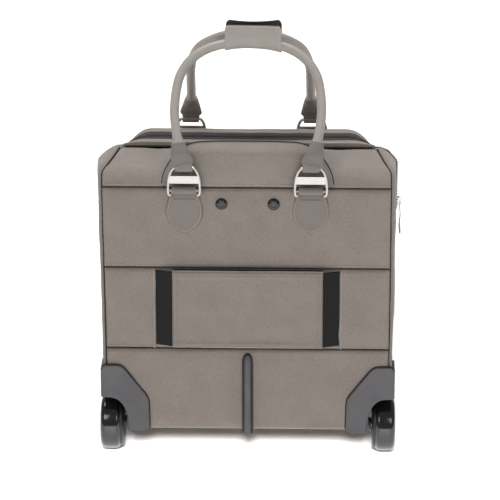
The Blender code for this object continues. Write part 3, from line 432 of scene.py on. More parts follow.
def skin(name, grid, thickness, looks, body, replaces=(), slot=None, relief=None, tuck=0.0, tuck_width=0.006,
         tucked="nsew", hole=None, away=MIDDLE, declare=True):
    """A cloth or leather panel of some thickness. Its edges are tucked in, and relief lifts it off the grid.

    looks are the outside and the inside. tucked names the edges: n last row, s first row, w first column, e last.
    """
    relief = np.zeros(grid.shape[:2]) if relief is None else relief
    flat = grid
    grid, normals, turned = facing(grid, away)
    if turned:
        relief = relief[:, ::-1]
        tucked = tucked.translate(str.maketrans("ew", "we"))
    down, across = lengths(grid)
    edges = {"s": down, "n": down[-1] - down, "w": across, "e": across[:, -1:] - across}
    drop = np.zeros(grid.shape[:2])
    for edge in tucked:
        drop = np.maximum(drop, tuck * np.clip(1 - edges[edge] / tuck_width, 0, 1) ** 2)
    outer = grid + normals * (relief - drop)[..., None]
    inner = grid - normals * thickness
    rows, columns = grid.shape[:2]
    count = rows * columns
    cells = quads(rows, columns)
    kept = np.ones((rows - 1, columns - 1), bool)
    if hole:
        centres = (grid[:-1, :-1] + grid[1:, 1:]) / 2
        kept = ~hole(centres)
    faces = [tuple(c) for c in cells[kept]]
    marks = [0] * len(faces)
    faces += [tuple(count + c for c in reversed(f)) for f in faces[:]]
    marks += [1 if len(looks) > 1 else 0] * (len(faces) - len(marks))
    padded = np.pad(kept, 1)
    for edge, (di, dj) in enumerate(((-1, 0), (0, 1), (1, 0), (0, -1))):
        beside = padded[1 + di:rows + di, 1 + dj:columns + dj]
        for cell in cells[kept & ~beside]:
            a, b = int(cell[edge]), int(cell[(edge + 1) % 4])
            faces.append((b, a, count + a, count + b))
            marks.append(0)
    points = np.vstack([outer.reshape(-1, 3), inner.reshape(-1, 3)])
    uv = np.stack([across, down], axis=-1).reshape(-1, 2)
    used = np.unique(np.concatenate([np.asarray(f) for f in faces]))
    where = np.zeros(2 * count, int)
    where[used] = np.arange(len(used))
    faces = [tuple(int(where[k]) for k in f) for f in faces]
    obj = made(name, points[used], faces, looks, body, replaces, slot, marks, np.vstack([uv, uv])[used])
    if declare:
        sides = np.linalg.norm(np.cross(flat[1:, :-1] - flat[:-1, :-1], flat[:-1, 1:] - flat[:-1, :-1]), axis=2)
        down, across = lengths(flat)
        size = (round(float(across[:, -1].max()), 3), round(float(down[-1].max()), 3))
        area = float((sides[kept[:, ::-1] if turned else kept]).sum())
        area = min(max(area, 0.31 * size[0] * size[1]), size[0] * size[1])
    return obj, outer, normals


def line_on(grid, normals, side, inset):
    """Points and normals along a panel, at a distance from one of its edges."""
    if side in "we":
        grid, normals = grid.transpose(1, 0, 2), normals.transpose(1, 0, 2)
    if side in "ne":
        grid, normals = grid[::-1], normals[::-1]
    down, _ = lengths(grid)
    found, ways = [], []
    for c in range(grid.shape[1]):
        found.append([np.interp(inset, down[:, c], grid[:, c, k]) for k in range(3)])
        ways.append([np.interp(inset, down[:, c], normals[:, c, k]) for k in range(3)])
    return np.array(found), unit(np.array(ways))


def rod(path, radius, sides=12, closed=False):
    """Rings of points round a path. radius may be one number or one for each point of the path."""
    path = np.asarray(path, float)
    count = len(path)
    tangents = unit(np.gradient(path, axis=0))
    if closed:
        tangents = unit(np.roll(path, -1, axis=0) - np.roll(path, 1, axis=0))
    across = np.zeros((count, 3))
    first = np.cross(tangents[0], (0.0, 0.0, 1.0))
    if np.linalg.norm(first) < 0.1:
        first = np.cross(tangents[0], (0.0, 1.0, 0.0))
    across[0] = unit(first)
    for k in range(1, count):
        across[k] = unit(across[k - 1] - tangents[k] * (across[k - 1] @ tangents[k]))
    through = np.cross(tangents, across)
    radius = np.broadcast_to(np.asarray(radius, float), (count,))[:, None, None]
    angles = 2 * np.pi * np.arange(sides) / sides
    rings = (path[:, None, :] + radius * (np.cos(angles)[None, :, None] * across[:, None, :]
                                          + np.sin(angles)[None, :, None] * through[:, None, :]))
    faces = []
    for i in range(count if closed else count - 1):
        for k in range(sides):
            a, b = i * sides + k, i * sides + (k + 1) % sides
            c, d = ((i + 1) % count) * sides + (k + 1) % sides, ((i + 1) % count) * sides + k
            faces.append((a, b, c, d))
    if not closed:
        faces.append(tuple(reversed(range(sides))))
        faces.append(tuple(range((count - 1) * sides, count * sides)))
    along = distances(path)
    round_it = 2 * np.pi * radius[:, 0, 0].mean() * np.arange(sides) / sides
    uv = np.stack(np.broadcast_arrays(round_it[None, :], along[:, None]), axis=-1).reshape(-1, 2)
    return rings.reshape(-1, 3), faces, uv


def joined(parts):
    """Several (points, faces, uv) as one."""
    points, faces, uvs, base = [], [], [], 0
    for part_points, part_faces, part_uv in parts:
        points.append(part_points)
        faces += [tuple(int(base + k) for k in f) for f in part_faces]
        uvs.append(part_uv)
        base += len(part_points)
    return np.vstack(points), faces, np.vstack(uvs)


def tube(name, path, radius, look, body, replaces=(), slot=None, sides=12):
    points, faces, uv = rod(path, radius, sides)
    return made(name, points, faces, [look], body, replaces, slot, uvs=uv)


def stitched(name, rows, look, body, pitch=0.0032, length=0.0024, radius=0.00030, slot=None):
    """Rows of sewing stitches as one piece. A row is (points, normals)."""
    parts = []
    for points, normals in rows:
        line = np.hstack([points, normals])
        along = distances(points)
        count = max(int(along[-1] / pitch), 1)
        spots = (np.arange(count) + 0.5) * along[-1] / count
        for spot in spots:
            ends = [spot - length / 2, spot - length / 5, spot + length / 5, spot + length / 2]
            found = np.stack([np.interp(ends, along, line[:, k]) for k in range(6)], axis=1)
            lift = np.array((-0.6, 0.75, 0.75, -0.6))[:, None] * radius
            parts.append(rod(found[:, :3] + found[:, 3:] * lift, np.array((0.45, 1, 1, 0.45)) * radius, 5))
    points, faces, uv = joined(parts)
    return made(name, points, faces, [look], body, (), slot, uvs=uv)


def lathe(profile, centre, axis, segments=96):
    """A profile of (along, radius) turned about an axis through a centre."""
    angles = 2 * np.pi * np.arange(segments) / segments
    rings = []
    for along, radius in profile:
        ring = np.stack([np.full(segments, along), radius * np.cos(angles), radius * np.sin(angles)], axis=1)
        rings.append(np.roll(ring, axis, axis=1) + np.asarray(centre))
    faces = []
    for i in range(len(profile) - 1):
        for k in range(segments):
            a, b = i * segments + k, i * segments + (k + 1) % segments
            faces.append((a, b, b + segments, a + segments))
    last = (len(profile) - 1) * segments
    faces.append(tuple(reversed(range(segments))))
    faces.append(tuple(range(last, last + segments)))
    return np.vstack(rings), faces


def bevelled(obj, width, segments, angle):
    edge = obj.modifiers.new("rounded_edges", "BEVEL")
    edge.width, edge.segments = width, segments
    edge.limit_method, edge.angle_limit = "ANGLE", math.radians(angle)
    edge.use_clamp_overlap = True


def tidy_normals(obj, bevel=0.0, segments=2):
    """Faces outwards, with optional rounded edges."""
    work = bmesh.new()
    work.from_mesh(obj.data)
    bmesh.ops.remove_doubles(work, verts=work.verts, dist=1e-6)
    bmesh.ops.recalc_face_normals(work, faces=work.faces)
    work.to_mesh(obj.data)
    work.free()
    if bevel:
        bevelled(obj, bevel, segments, 35)


def lathed(name, profile, centre, axis, look, body, replaces=(), slot=None, segments=96):
    points, faces = lathe(smooth_profile(profile), centre, axis, segments)
    obj = made(name, points, faces, [look], body, replaces, slot)
    tidy_normals(obj)
    obj.data.polygons.foreach_set("use_smooth", [True] * len(obj.data.polygons))
    obj.data.set_sharp_from_angle(angle=math.radians(38))
    return obj


def smooth_profile(profile, step=0.0012):
    """The profile with short runs between its points, so that shading follows the curve."""
    out = [profile[0]]
    for a, b in zip(profile, profile[1:]):
        steps = max(int(math.dist(a, b) / (step * 3)), 1)
        out += [(a[0] + (b[0] - a[0]) * k / steps, a[1] + (b[1] - a[1]) * k / steps) for k in range(1, steps + 1)]
    return out


def prism(outline, low, high, axis):
    """A closed outline extruded along an axis: points and faces."""
    count = len(outline)
    points = []
    for level in (low, high):
        for p in outline:
            values = list(p)
            values.insert(axis, level)
            points.append(values)
    faces = [tuple(range(count)), tuple(reversed(range(count, 2 * count)))]
    faces += [(k, (k + 1) % count, count + (k + 1) % count, count + k) for k in range(count)]
    return points, faces


# ---------------------------------------------------------------- case shell


def slump(grid):
    """The top of the case falls away towards the front at both ends of the zip."""
    grid = np.array(grid, float)
    across = np.clip((np.abs(grid[..., 0]) - 0.135) / 0.033, 0, 1) ** 2
    along = np.clip((grid[..., 1] + 0.028) / 0.078, 0, 1)
    grid[..., 2] -= SLUMP * across * along * ease((grid[..., 2] - 0.330) / 0.100)
    return grid


def flare(grid):
    """The case leans out a little at its upper left corner."""
    grid = np.array(grid, float)
    across = np.clip((-grid[..., 0] - 0.150) / 0.050, 0, 1.1) ** 2
    grid[..., 0] -= FLARE * across * ease((grid[..., 2] - 0.170) / 0.200)
    return grid


def shade_cord(name, path, body="case", radius=0.0010, look="seam"):
    """Painted shade: a dark cord laid along a seam, fold or gap, standing in for its shadow."""
    tube(name, even(path, 0.004), radius, look, body, (), "case_fabric", 8)


def corner_radius(y):
    """The side's shoulder is almost square at the back panel and rounds off towards the zip."""
    return 0.0006 + 0.0206 * np.clip((y + 0.092) / 0.062, 0, 1) ** 0.85


def crown_height(y):
    shoulder = HALF_DEPTH - SHOULDER_RADIUS
    share = (shoulder - abs(y)) / (shoulder - ZIP_HALF_SPAN)
    return SHOULDER_Z + (CROWN_Z - SHOULDER_Z) * min(max(share, 0), 1)


def panel_profile(face, bottom, top=None):
    """Evenly spaced (y, z, half width) up a panel, and over its shoulder to the zip if it has no top."""
    sign = FACES[face]
    edge = HALF_WIDTH - EDGE_GAP
    if top is not None:
        return even([(sign * HALF_DEPTH, bottom, edge), (sign * HALF_DEPTH, top, edge)], CELL)
    centre_x, centre_y = HALF_WIDTH - SHOULDER_RADIUS, HALF_DEPTH - SHOULDER_RADIUS
    centre_z = SHOULDER_Z - SHOULDER_RADIUS
    path = [(sign * HALF_DEPTH, bottom, edge)]
    for degrees in range(0, 91, 6):
        c, s = math.cos(math.radians(degrees)), math.sin(math.radians(degrees))
        y = centre_y + SHOULDER_RADIUS * c
        half = centre_x + SHOULDER_RADIUS * c if sign > 0 else HALF_WIDTH - float(corner_radius(-y))
        path.append((sign * y, centre_z + SHOULDER_RADIUS * s, half - EDGE_GAP))
    for y in np.linspace(centre_y, ZIP_HALF_SPAN + 0.0008, 9)[1:]:
        half = centre_x if sign > 0 else HALF_WIDTH - float(corner_radius(-y))
        path.append((sign * y, crown_height(y) - 0.0002, half - EDGE_GAP))
    return even(path, CELL)


def panel_grid(face, bottom, top=None):
    profile = panel_profile(face, bottom, top)
    shares = np.linspace(-1, 1, int(2 * HALF_WIDTH / CELL) + 1)
    return flare(spread_out(shares[None, :] * profile[:, 2:3], profile[:, 0:1], profile[:, 1:2],
                            len(profile), len(shares)))


def pucker(along, distance, seed, wave=0.011, reach=0.009, depth=0.00022):
    """Small gathers that fade away from a seam."""
    jitter = 1.6 * np.sin(along / 0.037 + seed) + 0.9 * np.sin(along / 0.0139 + 2.1 * seed)
    return depth * np.sin(2 * math.pi * along / wave + jitter) * np.exp(-distance / reach)


def panel_relief(grid, seed, swell=0.0010):
    """The soft surface of a padded panel: a slight swell, long shallow waves and gathers along its seams."""
    down, across = lengths(grid)
    high = down[-1:].max()
    wide = across[:, -1:].max()
    to_seam = np.minimum(down, high - down)
    to_side = np.minimum(across, wide - across)
    rise = swell * ease(to_seam / 0.022) * ease(to_side / 0.03)
    waves = 0.00055 * ripple(grid * (1, 1, 1.25), 0.085, seed) + 0.00022 * ripple(grid, 0.03, seed + 9)
    waves = waves * ease(to_seam / 0.012) * ease(to_side / 0.012)
    return rise + waves + pucker(across, to_seam, seed) + pucker(down, to_side, seed + 3)


def in_well(centres):
    return (np.abs(centres[..., 0]) > WELL_X) & (centres[..., 2] < WELL_Z) & (centres[..., 1] < WELL_Y)


def in_slot(centres):
    return ((np.abs(centres[..., 0]) < SLOT_X) & (centres[..., 1] > -0.0886) & (centres[..., 1] < -0.0608)
            & (centres[..., 2] > 0.41))


def build_panels():
    rows = []
    names = ("back_band_lower", "back_band_middle", "back_band_upper")
    levels = (BASE_Z - 0.0010, *SEAMS)
    for k, name in enumerate(names):
        seam = levels[k + 1] + 0.0004
        # Painted shade: a dark cord along each seam between the back bands stands in for the seam's shadow.
        shade_cord(f"seam_back_{k}", [(-0.1962, -0.0991, seam), (0.1962, -0.0991, seam)], "case", 0.0009, "seam_soft")
        low = levels[k] + (0.0009 if k else 0)
        grid = panel_grid("back", low, levels[k + 1] - 0.0001)
        _, outer, normals = skin(
            name + "_cloth", grid, 0.004, CLOTH, "case", [name], "case_fabric",
            panel_relief(grid, 11 + 7 * k), 0.0024, 0.0040, hole=in_well if k == 0 else None)
        for side, inset in (("s", 0.0052), ("n", 0.0052)):
            if (k, side) != (0, "s"):
                rows.append(line_on(outer, normals, side, inset))
    grid = panel_grid("back", SEAMS[2] + 0.0009)
    relief = panel_relief(grid, 41, 0.0006)
    down, _ = lengths(grid)
    to_handle = np.abs(np.abs(grid[..., 0]) - 0.125)
    relief = relief - 0.0012 * np.exp(-(to_handle / 0.014) ** 2) * ease((down - 0.012) / 0.02)
    relief = relief - 0.0018 * ease(1 - np.abs(grid[..., 1] + 0.052) / 0.02) * (1 - (grid[..., 0] / 0.17) ** 2).clip(0)
    _, outer, normals = skin(
        "back_band_shoulder_cloth", grid, 0.004, CLOTH, "case", ["back_band_shoulder"],
        "case_fabric", relief, 0.0022, 0.0042, hole=in_slot)
    rows.append(line_on(outer, normals, "s", 0.0052))
    rows.append(line_on(outer, normals, "n", 0.0040))
    stitched("stitches_back_panels", rows, "thread_dark", "case", *CASE_STITCH, 0.00024)

    grid = slump(panel_grid("front", BASE_Z + 0.0006))
    _, outer, normals = skin(
        "front_panel_cloth", grid, 0.004, CLOTH, "case", ["front_panel"], "case_fabric",
        panel_relief(grid, 71, 0.0012), 0.0022, 0.0042)
    rows = [line_on(outer, normals, side, 0.0052) for side in "nsew"]
    stitched("stitches_front_panel", rows, "thread_dark", "case", *CASE_STITCH, 0.00024)

    inset = 0.0046
    x, y = HALF_WIDTH - inset, HALF_DEPTH - inset
    xs, ys = np.linspace(-x, x, 120), np.linspace(-y, y, 60)
    grid = np.stack([*np.meshgrid(xs, ys), np.full((60, 120), BASE_Z)], axis=-1)
    grid[..., 2] += 0.0012
    skin("bottom_panel_cloth", grid, 0.004, CLOTH, "case", ["bottom_panel"], "case_fabric",
         0.0004 * ripple(grid, 0.05, 5), 0.001, 0.004, away=np.array((0, 0, 0.2)),
         hole=lambda c: (np.abs(c[..., 0]) > WELL_X) & (c[..., 1] < WELL_Y))


def side_bulge(y, z):
    ramp = np.clip((z - 0.060) / 0.190, 0, 1)
    return SIDE_BULGE * (1 - (y / 0.096) ** 2) * ramp * ramp * (3 - 2 * ramp)


def side_grid(side, half_width=None, low=BASE_Z, offset=0.0, columns=88):
    """Rows up a side gusset and over its shoulder. half_width narrows it to a strip down the middle."""
    depth_centre = HALF_DEPTH - SHOULDER_RADIUS
    heights = np.arange(low, SHOULDER_Z - SHOULDER_RADIUS, CELL * 1.4)
    shares = np.linspace(-1, 1, columns)
    rows = []
    for z in heights:
        y = shares * (half_width or HALF_DEPTH - EDGE_GAP)
        rows.append(np.stack([HALF_WIDTH + side_bulge(y, z) + offset, y, np.full_like(y, z)], axis=1))
    for degrees in np.linspace(0, 90, 16):
        c, s = math.cos(math.radians(degrees)), math.sin(math.radians(degrees))
        y = shares * (half_width or depth_centre + SHOULDER_RADIUS * c - EDGE_GAP)
        radius = corner_radius(y)
        rise = np.maximum(radius - SHOULDER_RADIUS * (1 - s), 0)
        x = HALF_WIDTH - radius + radius * np.maximum(1 - (rise / radius) ** 1.3, 0) ** (1 / 1.3)
        x = x + (side_bulge(y, 0.4) + offset) * c
        top = np.array([crown_height(v) for v in y])
        rows.append(np.stack([x, y, top - SHOULDER_RADIUS + (SHOULDER_RADIUS + offset) * s], axis=1))
    y = rows[-1][:, 1]
    inner = np.where(np.abs(y) < ZIP_HALF_SPAN + 0.001, ZIP_END_X + 0.0009, HALF_WIDTH - radius - 0.0036)
    for share in (0.5, 1):
        x = (HALF_WIDTH - radius) * (1 - share) + inner * share
        rows.append(np.stack([x, *rows[-1][:, 1:].T], axis=1))
    grid = np.array(rows)
    grid[..., 0] *= SIDES[side]
    grid = flare(grid)
    return slump(grid) if half_width is None else grid


def build_sides():
    for side, sign in SIDES.items():
        grid = side_grid(side)
        relief = panel_relief(grid, 23 + sign, 0.0004)
        relief = relief * (1 - np.exp(-(grid[..., 1] / 0.016) ** 4) * ease((grid[..., 2] - 0.300) / 0.025))
        skin(f"side_gusset_{side}_cloth", grid, 0.003, CLOTH, "case", [f"side_gusset_{side}"],
             "case_fabric", relief, 0.0022, 0.0045,
             hole=lambda c: (c[..., 2] < WELL_Z) & (c[..., 1] < WELL_Y))

        low = 0.334
        for k, (inner, outer) in enumerate(((0.0004, 0.0120), (-0.0120, -0.0004))):
            grid = side_grid(side, 0.012, low, 0.0010, 10)
            grid[..., 1] = np.linspace(inner, outer, 10)[None, :]
            skin(f"zip_side_{side}_tape_{k}", slump(grid), 0.0006, ["zip_tape"], "case",
                 [f"zip_side_{side}"] if k == 0 else (), "zip_tape", None, 0.0003, 0.001)
        path = side_grid(side, 0.012, low, 0.0010, 3)[:, 1]
        path[:, 1] = 0
        coil(f"zip_side_{side}_coil", slump(path), np.array((0, 1, 0)), np.array((sign, 0, 0)), "case")


def corner_path(sign_x, sign_y, bottom):
    inset = PIPING_INSET
    x, y = HALF_WIDTH - inset, HALF_DEPTH - inset
    centre_x, centre_y = HALF_WIDTH - SHOULDER_RADIUS, HALF_DEPTH - SHOULDER_RADIUS
    centre_z, radius = SHOULDER_Z - SHOULDER_RADIUS, SHOULDER_RADIUS - inset
    path = [(sign_x * x, sign_y * y, bottom), (sign_x * x, sign_y * y, (bottom + centre_z) / 2)]
    for degrees in range(0, 89, 8):
        c, s = math.cos(math.radians(degrees)), math.sin(math.radians(degrees))
        depth = centre_y + radius * c
        across = centre_x + radius * c if sign_y > 0 else x - float(corner_radius(-depth)) * 0.95
        path.append((sign_x * across, sign_y * depth, centre_z + radius * s))
    for depth in (0.0745, 0.0680, 0.0620, 0.0560, 0.0500, 0.0450, 0.0390, 0.0335):
        across = 0.1760 if sign_y > 0 else x - float(corner_radius(-depth)) * 0.95
        path.append((sign_x * across, sign_y * depth, crown_height(depth) - 0.0010))
    return path


def build_piping():
    for side, sign in SIDES.items():
        path = even(flare(corner_path(sign, -1, 0.0945)), 0.0025)
        # Painted shade: a dark cord beside the piping stands in for the shadow of its seam.
        inner = path + np.array((-sign * 0.0025, 0.0, 0.0))
        inner[:, 2] += 0.0002
        shade_cord(f"seam_corner_{side}", inner, "case", 0.0011)
        path[:, :2] += 0.00015 * ripple(path, 0.03, 61)[:, None]
        radius = 0.00195 + 0.00006 * ripple(path, 0.012, 62)
        tube(f"piping_back_{side}_cord", path, radius, "piping_fabric", "case", [f"piping_back_{side}"],
             "case_fabric")
    x, y, z = HALF_WIDTH - PIPING_INSET, HALF_DEPTH - PIPING_INSET, BASE_Z + PIPING_INSET
    left, right = corner_path(-1, 1, z + 0.006), corner_path(1, 1, z + 0.006)
    turn = [(x, y, z + 0.0025), (x - 0.0007, y, z + 0.0007), (x - 0.0025, y, z)]
    bottom = [(-a, b, c) for a, b, c in turn] + turn[::-1]
    path = slump(even(left[::-1] + bottom + right, 0.0025))
    tube("piping_front_cord", path, 0.00170 + 0.00006 * ripple(path, 0.012, 63), "piping_fabric", "case",
         ["piping_front"], "case_fabric")


# ---------------------------------------------------------------- zips


def coil(name, path, across, up, body, reach=0.0030, pitch=0.0021, thickness=0.0006):
    """Zip teeth across a path: one bent wire tooth for each pitch."""
    spots = even(path, pitch)
    parts = []
    for k, spot in enumerate(spots):
        way = 1 if k % 2 else -1
        ends = [(-0.15, 0.2), (0.25, 1.0), (0.75, 1.0), (1.0, 0.1)]
        tooth = [spot + across * way * reach * a + up * 0.0012 * b for a, b in ends]
        parts.append(rod(np.array(tooth), thickness, 6))
    points, faces, uv = joined(parts)
    return made(name, points, faces, ["coil"], body, (), "zip_tape", uvs=uv)


def zip_height(x):
    share = np.maximum(np.abs(x) - 0.145, 0) / (ZIP_END_X - 0.145)
    return CROWN_Z + ZIP_RISE - ZIP_DROP * share * share


def build_top_zip():
    xs = np.linspace(-ZIP_END_X, ZIP_END_X, 170)
    tops = zip_height(xs) - 0.0010 * (1 - (xs / ZIP_END_X) ** 2)
    for face, sign in FACES.items():
        body = f"gusset_{face}"
        section = smooth([(0.0306, -0.0058), (0.0307, -0.0036), (0.0300, -0.0012), (0.0280, 0.0001),
                          (0.0240, 0.0006), (0.0190, 0.0005), (0.0165, 0.0002)], count=22)
        grid = slump(spread_out(xs[:, None], sign * section[None, :, 0], tops[:, None] + section[None, :, 1],
                                len(xs), len(section)))
        relief = 0.0003 * ripple(grid, 0.035, 81 + sign)
        low = np.array((0, sign * 0.012, 0.425))
        _, outer, normals = skin(f"zip_gusset_{face}_cloth", grid, 0.0014, CLOTH, body,
                                 [f"zip_gusset_{face}"], "case_fabric", relief, 0.0003, 0.0012, away=low)
        rows = [line_on(outer, normals, "e" if abs(outer[0, 0, 1]) > abs(outer[0, -1, 1]) else "w", 0.0022)]
        stitched(f"stitches_zip_{face}", rows, "thread", body, 0.0030, 0.0022, 0.00026)
        # Painted highlight: the zip's rim is drawn in the lightened binding look, for light on its rolled edge
        rim = np.stack([xs, np.full_like(xs, sign * 0.0290), tops - 0.0002], axis=1)
        tube(f"zip_binding_{face}", slump(rim), 0.0015, "binding", body, (), "case_fabric", 10)

        section = smooth([(0.0172, -0.0006), (0.0150, -0.0002), (0.0100, 0.0003), (0.0045, 0.0004)], count=10)
        grid = spread_out(xs[:, None], sign * section[None, :, 0], tops[:, None] + section[None, :, 1],
                          len(xs), len(section))
        skin(f"zip_tape_{face}", slump(grid), 0.0008, ["zip_tape"], body, (), "zip_tape",
             0.0001 * ripple(grid, 0.02, 7), 0.0002, 0.001, away=low)
        path = np.stack([xs, np.full_like(xs, sign * 0.0006), tops + 0.0006], axis=1)
        half_coil(f"zip_coil_{face}", slump(path), sign, body)
        edge = np.stack([xs, np.full_like(xs, sign * 0.0047), tops + 0.0006], axis=1)
        tube(f"zip_cord_{face}", slump(edge), 0.0006, "zip_tape", body, (), "zip_tape", 8)


def build_zip_gap():
    """Painted shade: a dark cord in the fold where the back gusset of the zip meets the shoulder, standing in for its
    shadow.
    """
    xs = np.linspace(-0.170, 0.170, 80)
    path = np.stack([xs, np.full_like(xs, -ZIP_HALF_SPAN - 0.0014), np.full_like(xs, CROWN_Z + 0.0004)], axis=1)
    shade_cord("zip_fold_shade", path, "case", 0.0013)


def half_coil(name, path, sign, body):
    """The loops of one side of the top zip."""
    spots = even(path, 0.0024)
    if sign < 0:
        spots = spots[:-1] + np.diff(spots, axis=0) / 2
    parts = []
    for spot in spots:
        loop = [(0.0042, 0.0), (0.0022, 0.0009), (0.0002, 0.0010), (-0.0006, 0.0003)]
        tooth = np.array([spot + np.array((0, sign * a, b)) for a, b in loop])
        parts.append(rod(tooth, np.array((0.0005, 0.0006, 0.0007, 0.0006)), 6))
    points, faces, uv = joined(parts)
    made(name, points, faces, ["coil"], body, (), "zip_tape", uvs=uv)


# ---------------------------------------------------------------- back trim


def build_sleeve():
    """The panel that slips over another case's trolley, with folded, stitched edges and elastic at the sides."""
    xs = np.linspace(SLEEVE_LOW.x, SLEEVE_HIGH.x, 110)
    zs = np.linspace(SLEEVE_LOW.z, SLEEVE_HIGH.z, 60)
    grid = spread_out(xs[None, :], SLEEVE_LOW.y + 0.0004, zs[:, None], len(zs), len(xs))
    share_x = 1 - (grid[..., 0] / SLEEVE_HIGH.x) ** 2
    middle = (SLEEVE_LOW.z + SLEEVE_HIGH.z) / 2
    half = (SLEEVE_HIGH.z - SLEEVE_LOW.z) / 2
    share_z = 1 - ((grid[..., 2] - middle) / half) ** 2
    relief = 0.0010 * share_x + 0.0005 * ripple(grid * (1, 1, 2.2), 0.075, 91) * share_x
    relief += 0.00035 * ripple(grid, 0.028, 92) - 0.0005 * share_z * share_x
    down, across = lengths(grid)
    for distance in (across, across[:, -1:] - across, down, down[-1:] - down):
        fold = 0.008 if distance is down else 0.0092
        relief += 0.00045 * (1 - ease((distance - fold) / 0.0014))
    _, outer, normals = skin("trolley_sleeve_cloth", grid, 0.0018, CLOTH, "case",
                             ["trolley_sleeve"], "case_fabric", relief, 0.0012, 0.0016)
    rows = [line_on(outer, normals, side, inset) for side in "nsew" for inset in (0.0020, 0.0068)]
    stitched("stitches_sleeve", rows, "thread_dark", "case", *CASE_STITCH, 0.00026)
    # Painted highlight: the sleeve's top and bottom edges are cords in the lightened binding look, for light on their
    # folds
    for label, row in (("top", outer[-1]), ("bottom", outer[0])):
        tube(f"sleeve_edge_{label}", even(row + (0, 0.0006, 0), 0.004), 0.0010, "binding", "case", (),
             "case_fabric", 8)
    # Painted shade: a dark sheet between the sleeve and the panel stands in for the shadow in the gap behind the
    # sleeve.
    xs, zs = np.linspace(-0.1030, 0.1030, 60), np.linspace(SEAMS[0] + 0.003, SEAMS[1] - 0.0006, 40)
    gap_shade = spread_out(xs[None, :], -0.1020, zs[:, None], len(zs), len(xs))
    skin("sleeve_gap_shade", gap_shade, 0.0006, ["seam"], "case", (), "case_fabric", 0.0001 * ripple(gap_shade, 0.03, 94))
    for side, sign in SIDES.items():
        section = smooth([(0.1037, -0.1084), (0.1078, -0.1078), (0.1145, -0.1050), (0.1210, -0.1024),
                          (0.1265, -0.1016)], count=20)
        zs = np.linspace(SLEEVE_LOW.z + 0.001, SLEEVE_HIGH.z - 0.001, 60)
        grid = spread_out(sign * section[None, :, 0], section[None, :, 1], zs[:, None], len(zs), len(section))
        _, across = lengths(grid)
        relief = 0.00022 * np.sin(2 * math.pi * across / 0.0027)
        skin(f"elastic_{side}_knit", grid, 0.0012, ["elastic"], "case", [f"elastic_{side}"], "elastic", relief,
             0.0003, 0.002)
        # Painted highlight: the welts use the lightened binding look, for light on their rolled edges
        welt = np.stack([np.full(60, sign * 0.1288), np.full(60, -0.1008), np.linspace(0.1605, 0.2770, 60)], axis=1)
        welt[:, 0] += 0.0002 * ripple(welt, 0.03, 5)
        tube(f"welt_{side}", welt, 0.0010, "binding", "case", (), "case_fabric", 8)


def flap_outline(count=160):
    """The trolley cover's arched edge, from the left foot to the right one: (x, z)."""
    half = [(0.1150, 0.3976), (0.1147, 0.4060), (0.1118, 0.4155), (0.1060, 0.4255), (0.0975, 0.4380),
            (0.0870, 0.4475), (0.0745, 0.4530), (0.0600, 0.4552), (0.0300, 0.4562), (0, 0.4562)]
    line = [(-x, z) for x, z in half] + [(x, z) for x, z in half[-2::-1]]
    return smooth(line, count=count)


def shoulder_depth(z):
    rise = min(max(z - SHOULDER_Z + SHOULDER_RADIUS, 0), SHOULDER_RADIUS)
    return HALF_DEPTH - SHOULDER_RADIUS + math.sqrt(SHOULDER_RADIUS ** 2 - rise ** 2)


def build_flap():
    """The padded cover over the trolley grip: a domed shield whose arched top rolls back."""
    face, bottom = -HALF_DEPTH, 0.3976
    outline = flap_outline()
    rows = 44
    grid = np.zeros((rows, len(outline), 3))
    for c, (x, top) in enumerate(outline):
        top = max(top, bottom + 0.0030)
        front = face - 0.0028 - 0.0080 * max(1 - (x / 0.085) ** 2, 0) ** 2
        back = min(-0.0890, -shoulder_depth(top - 0.0035) - 0.0008)
        reach = min(0.011, 0.35 * (top - bottom) + 0.002)
        profile = []
        for k in range(13):
            share = k / 12
            push = math.sin(math.pi * 0.5 * share)
            profile.append((face - 0.0028 + (front - face + 0.0028) * push, bottom + (top - reach - bottom) * share))
        for k in range(1, 13):
            a = math.radians(90 * k / 12)
            profile.append((front + (back - front) * (1 - math.cos(a)), top - reach + reach * math.sin(a)))
        profile = even(profile, count=rows)
        grid[:, c, 0], grid[:, c, 1:] = x, profile
    down, _ = lengths(grid)
    rim = down[-1:] - down
    relief = 0.0004 * ripple(grid, 0.06, 101) + 0.0002 * ripple(grid, 0.025, 102)
    relief = relief * ease(rim / 0.02) - 0.0014 * np.exp(-((rim - 0.0045) / 0.0013) ** 2)
    away = np.array((0, -0.080, 0.415))
    _, outer, normals = skin("trolley_flap_cloth", grid, 0.0020, CLOTH, "flap",
                             ["trolley_flap"], "case_fabric", relief, 0.0006, 0.003, away=away)
    edge = outer[-1]
    keep = edge[:, 2] > bottom + 0.0010
    path = even(edge[keep] + normals[-1][keep] * -0.0002, 0.0022)
    tube("flap_piping", path, 0.0017, "piping_fabric", "flap", (), "case_fabric", 10)
    # Painted shade: a dark cord behind the flap's piping stands in for the shadow along its edge.
    outward = unit(np.stack([path[:, 0] * 0.45, np.zeros(len(path)), path[:, 2] - 0.385], axis=1))
    shade_cord("flap_edge_shade", path + outward * 0.0019 + np.array((0, 0.0016, 0)), "flap", 0.0012)
    points, ways = line_on(outer, normals, "n", 0.0085)
    rows = [(points[6:-6], ways[6:-6]), line_on(outer, normals, "s", 0.0040)]
    stitched("stitches_flap", rows, "thread_dark", "flap", *CASE_STITCH, 0.00026)


# ---------------------------------------------------------------- tote handles


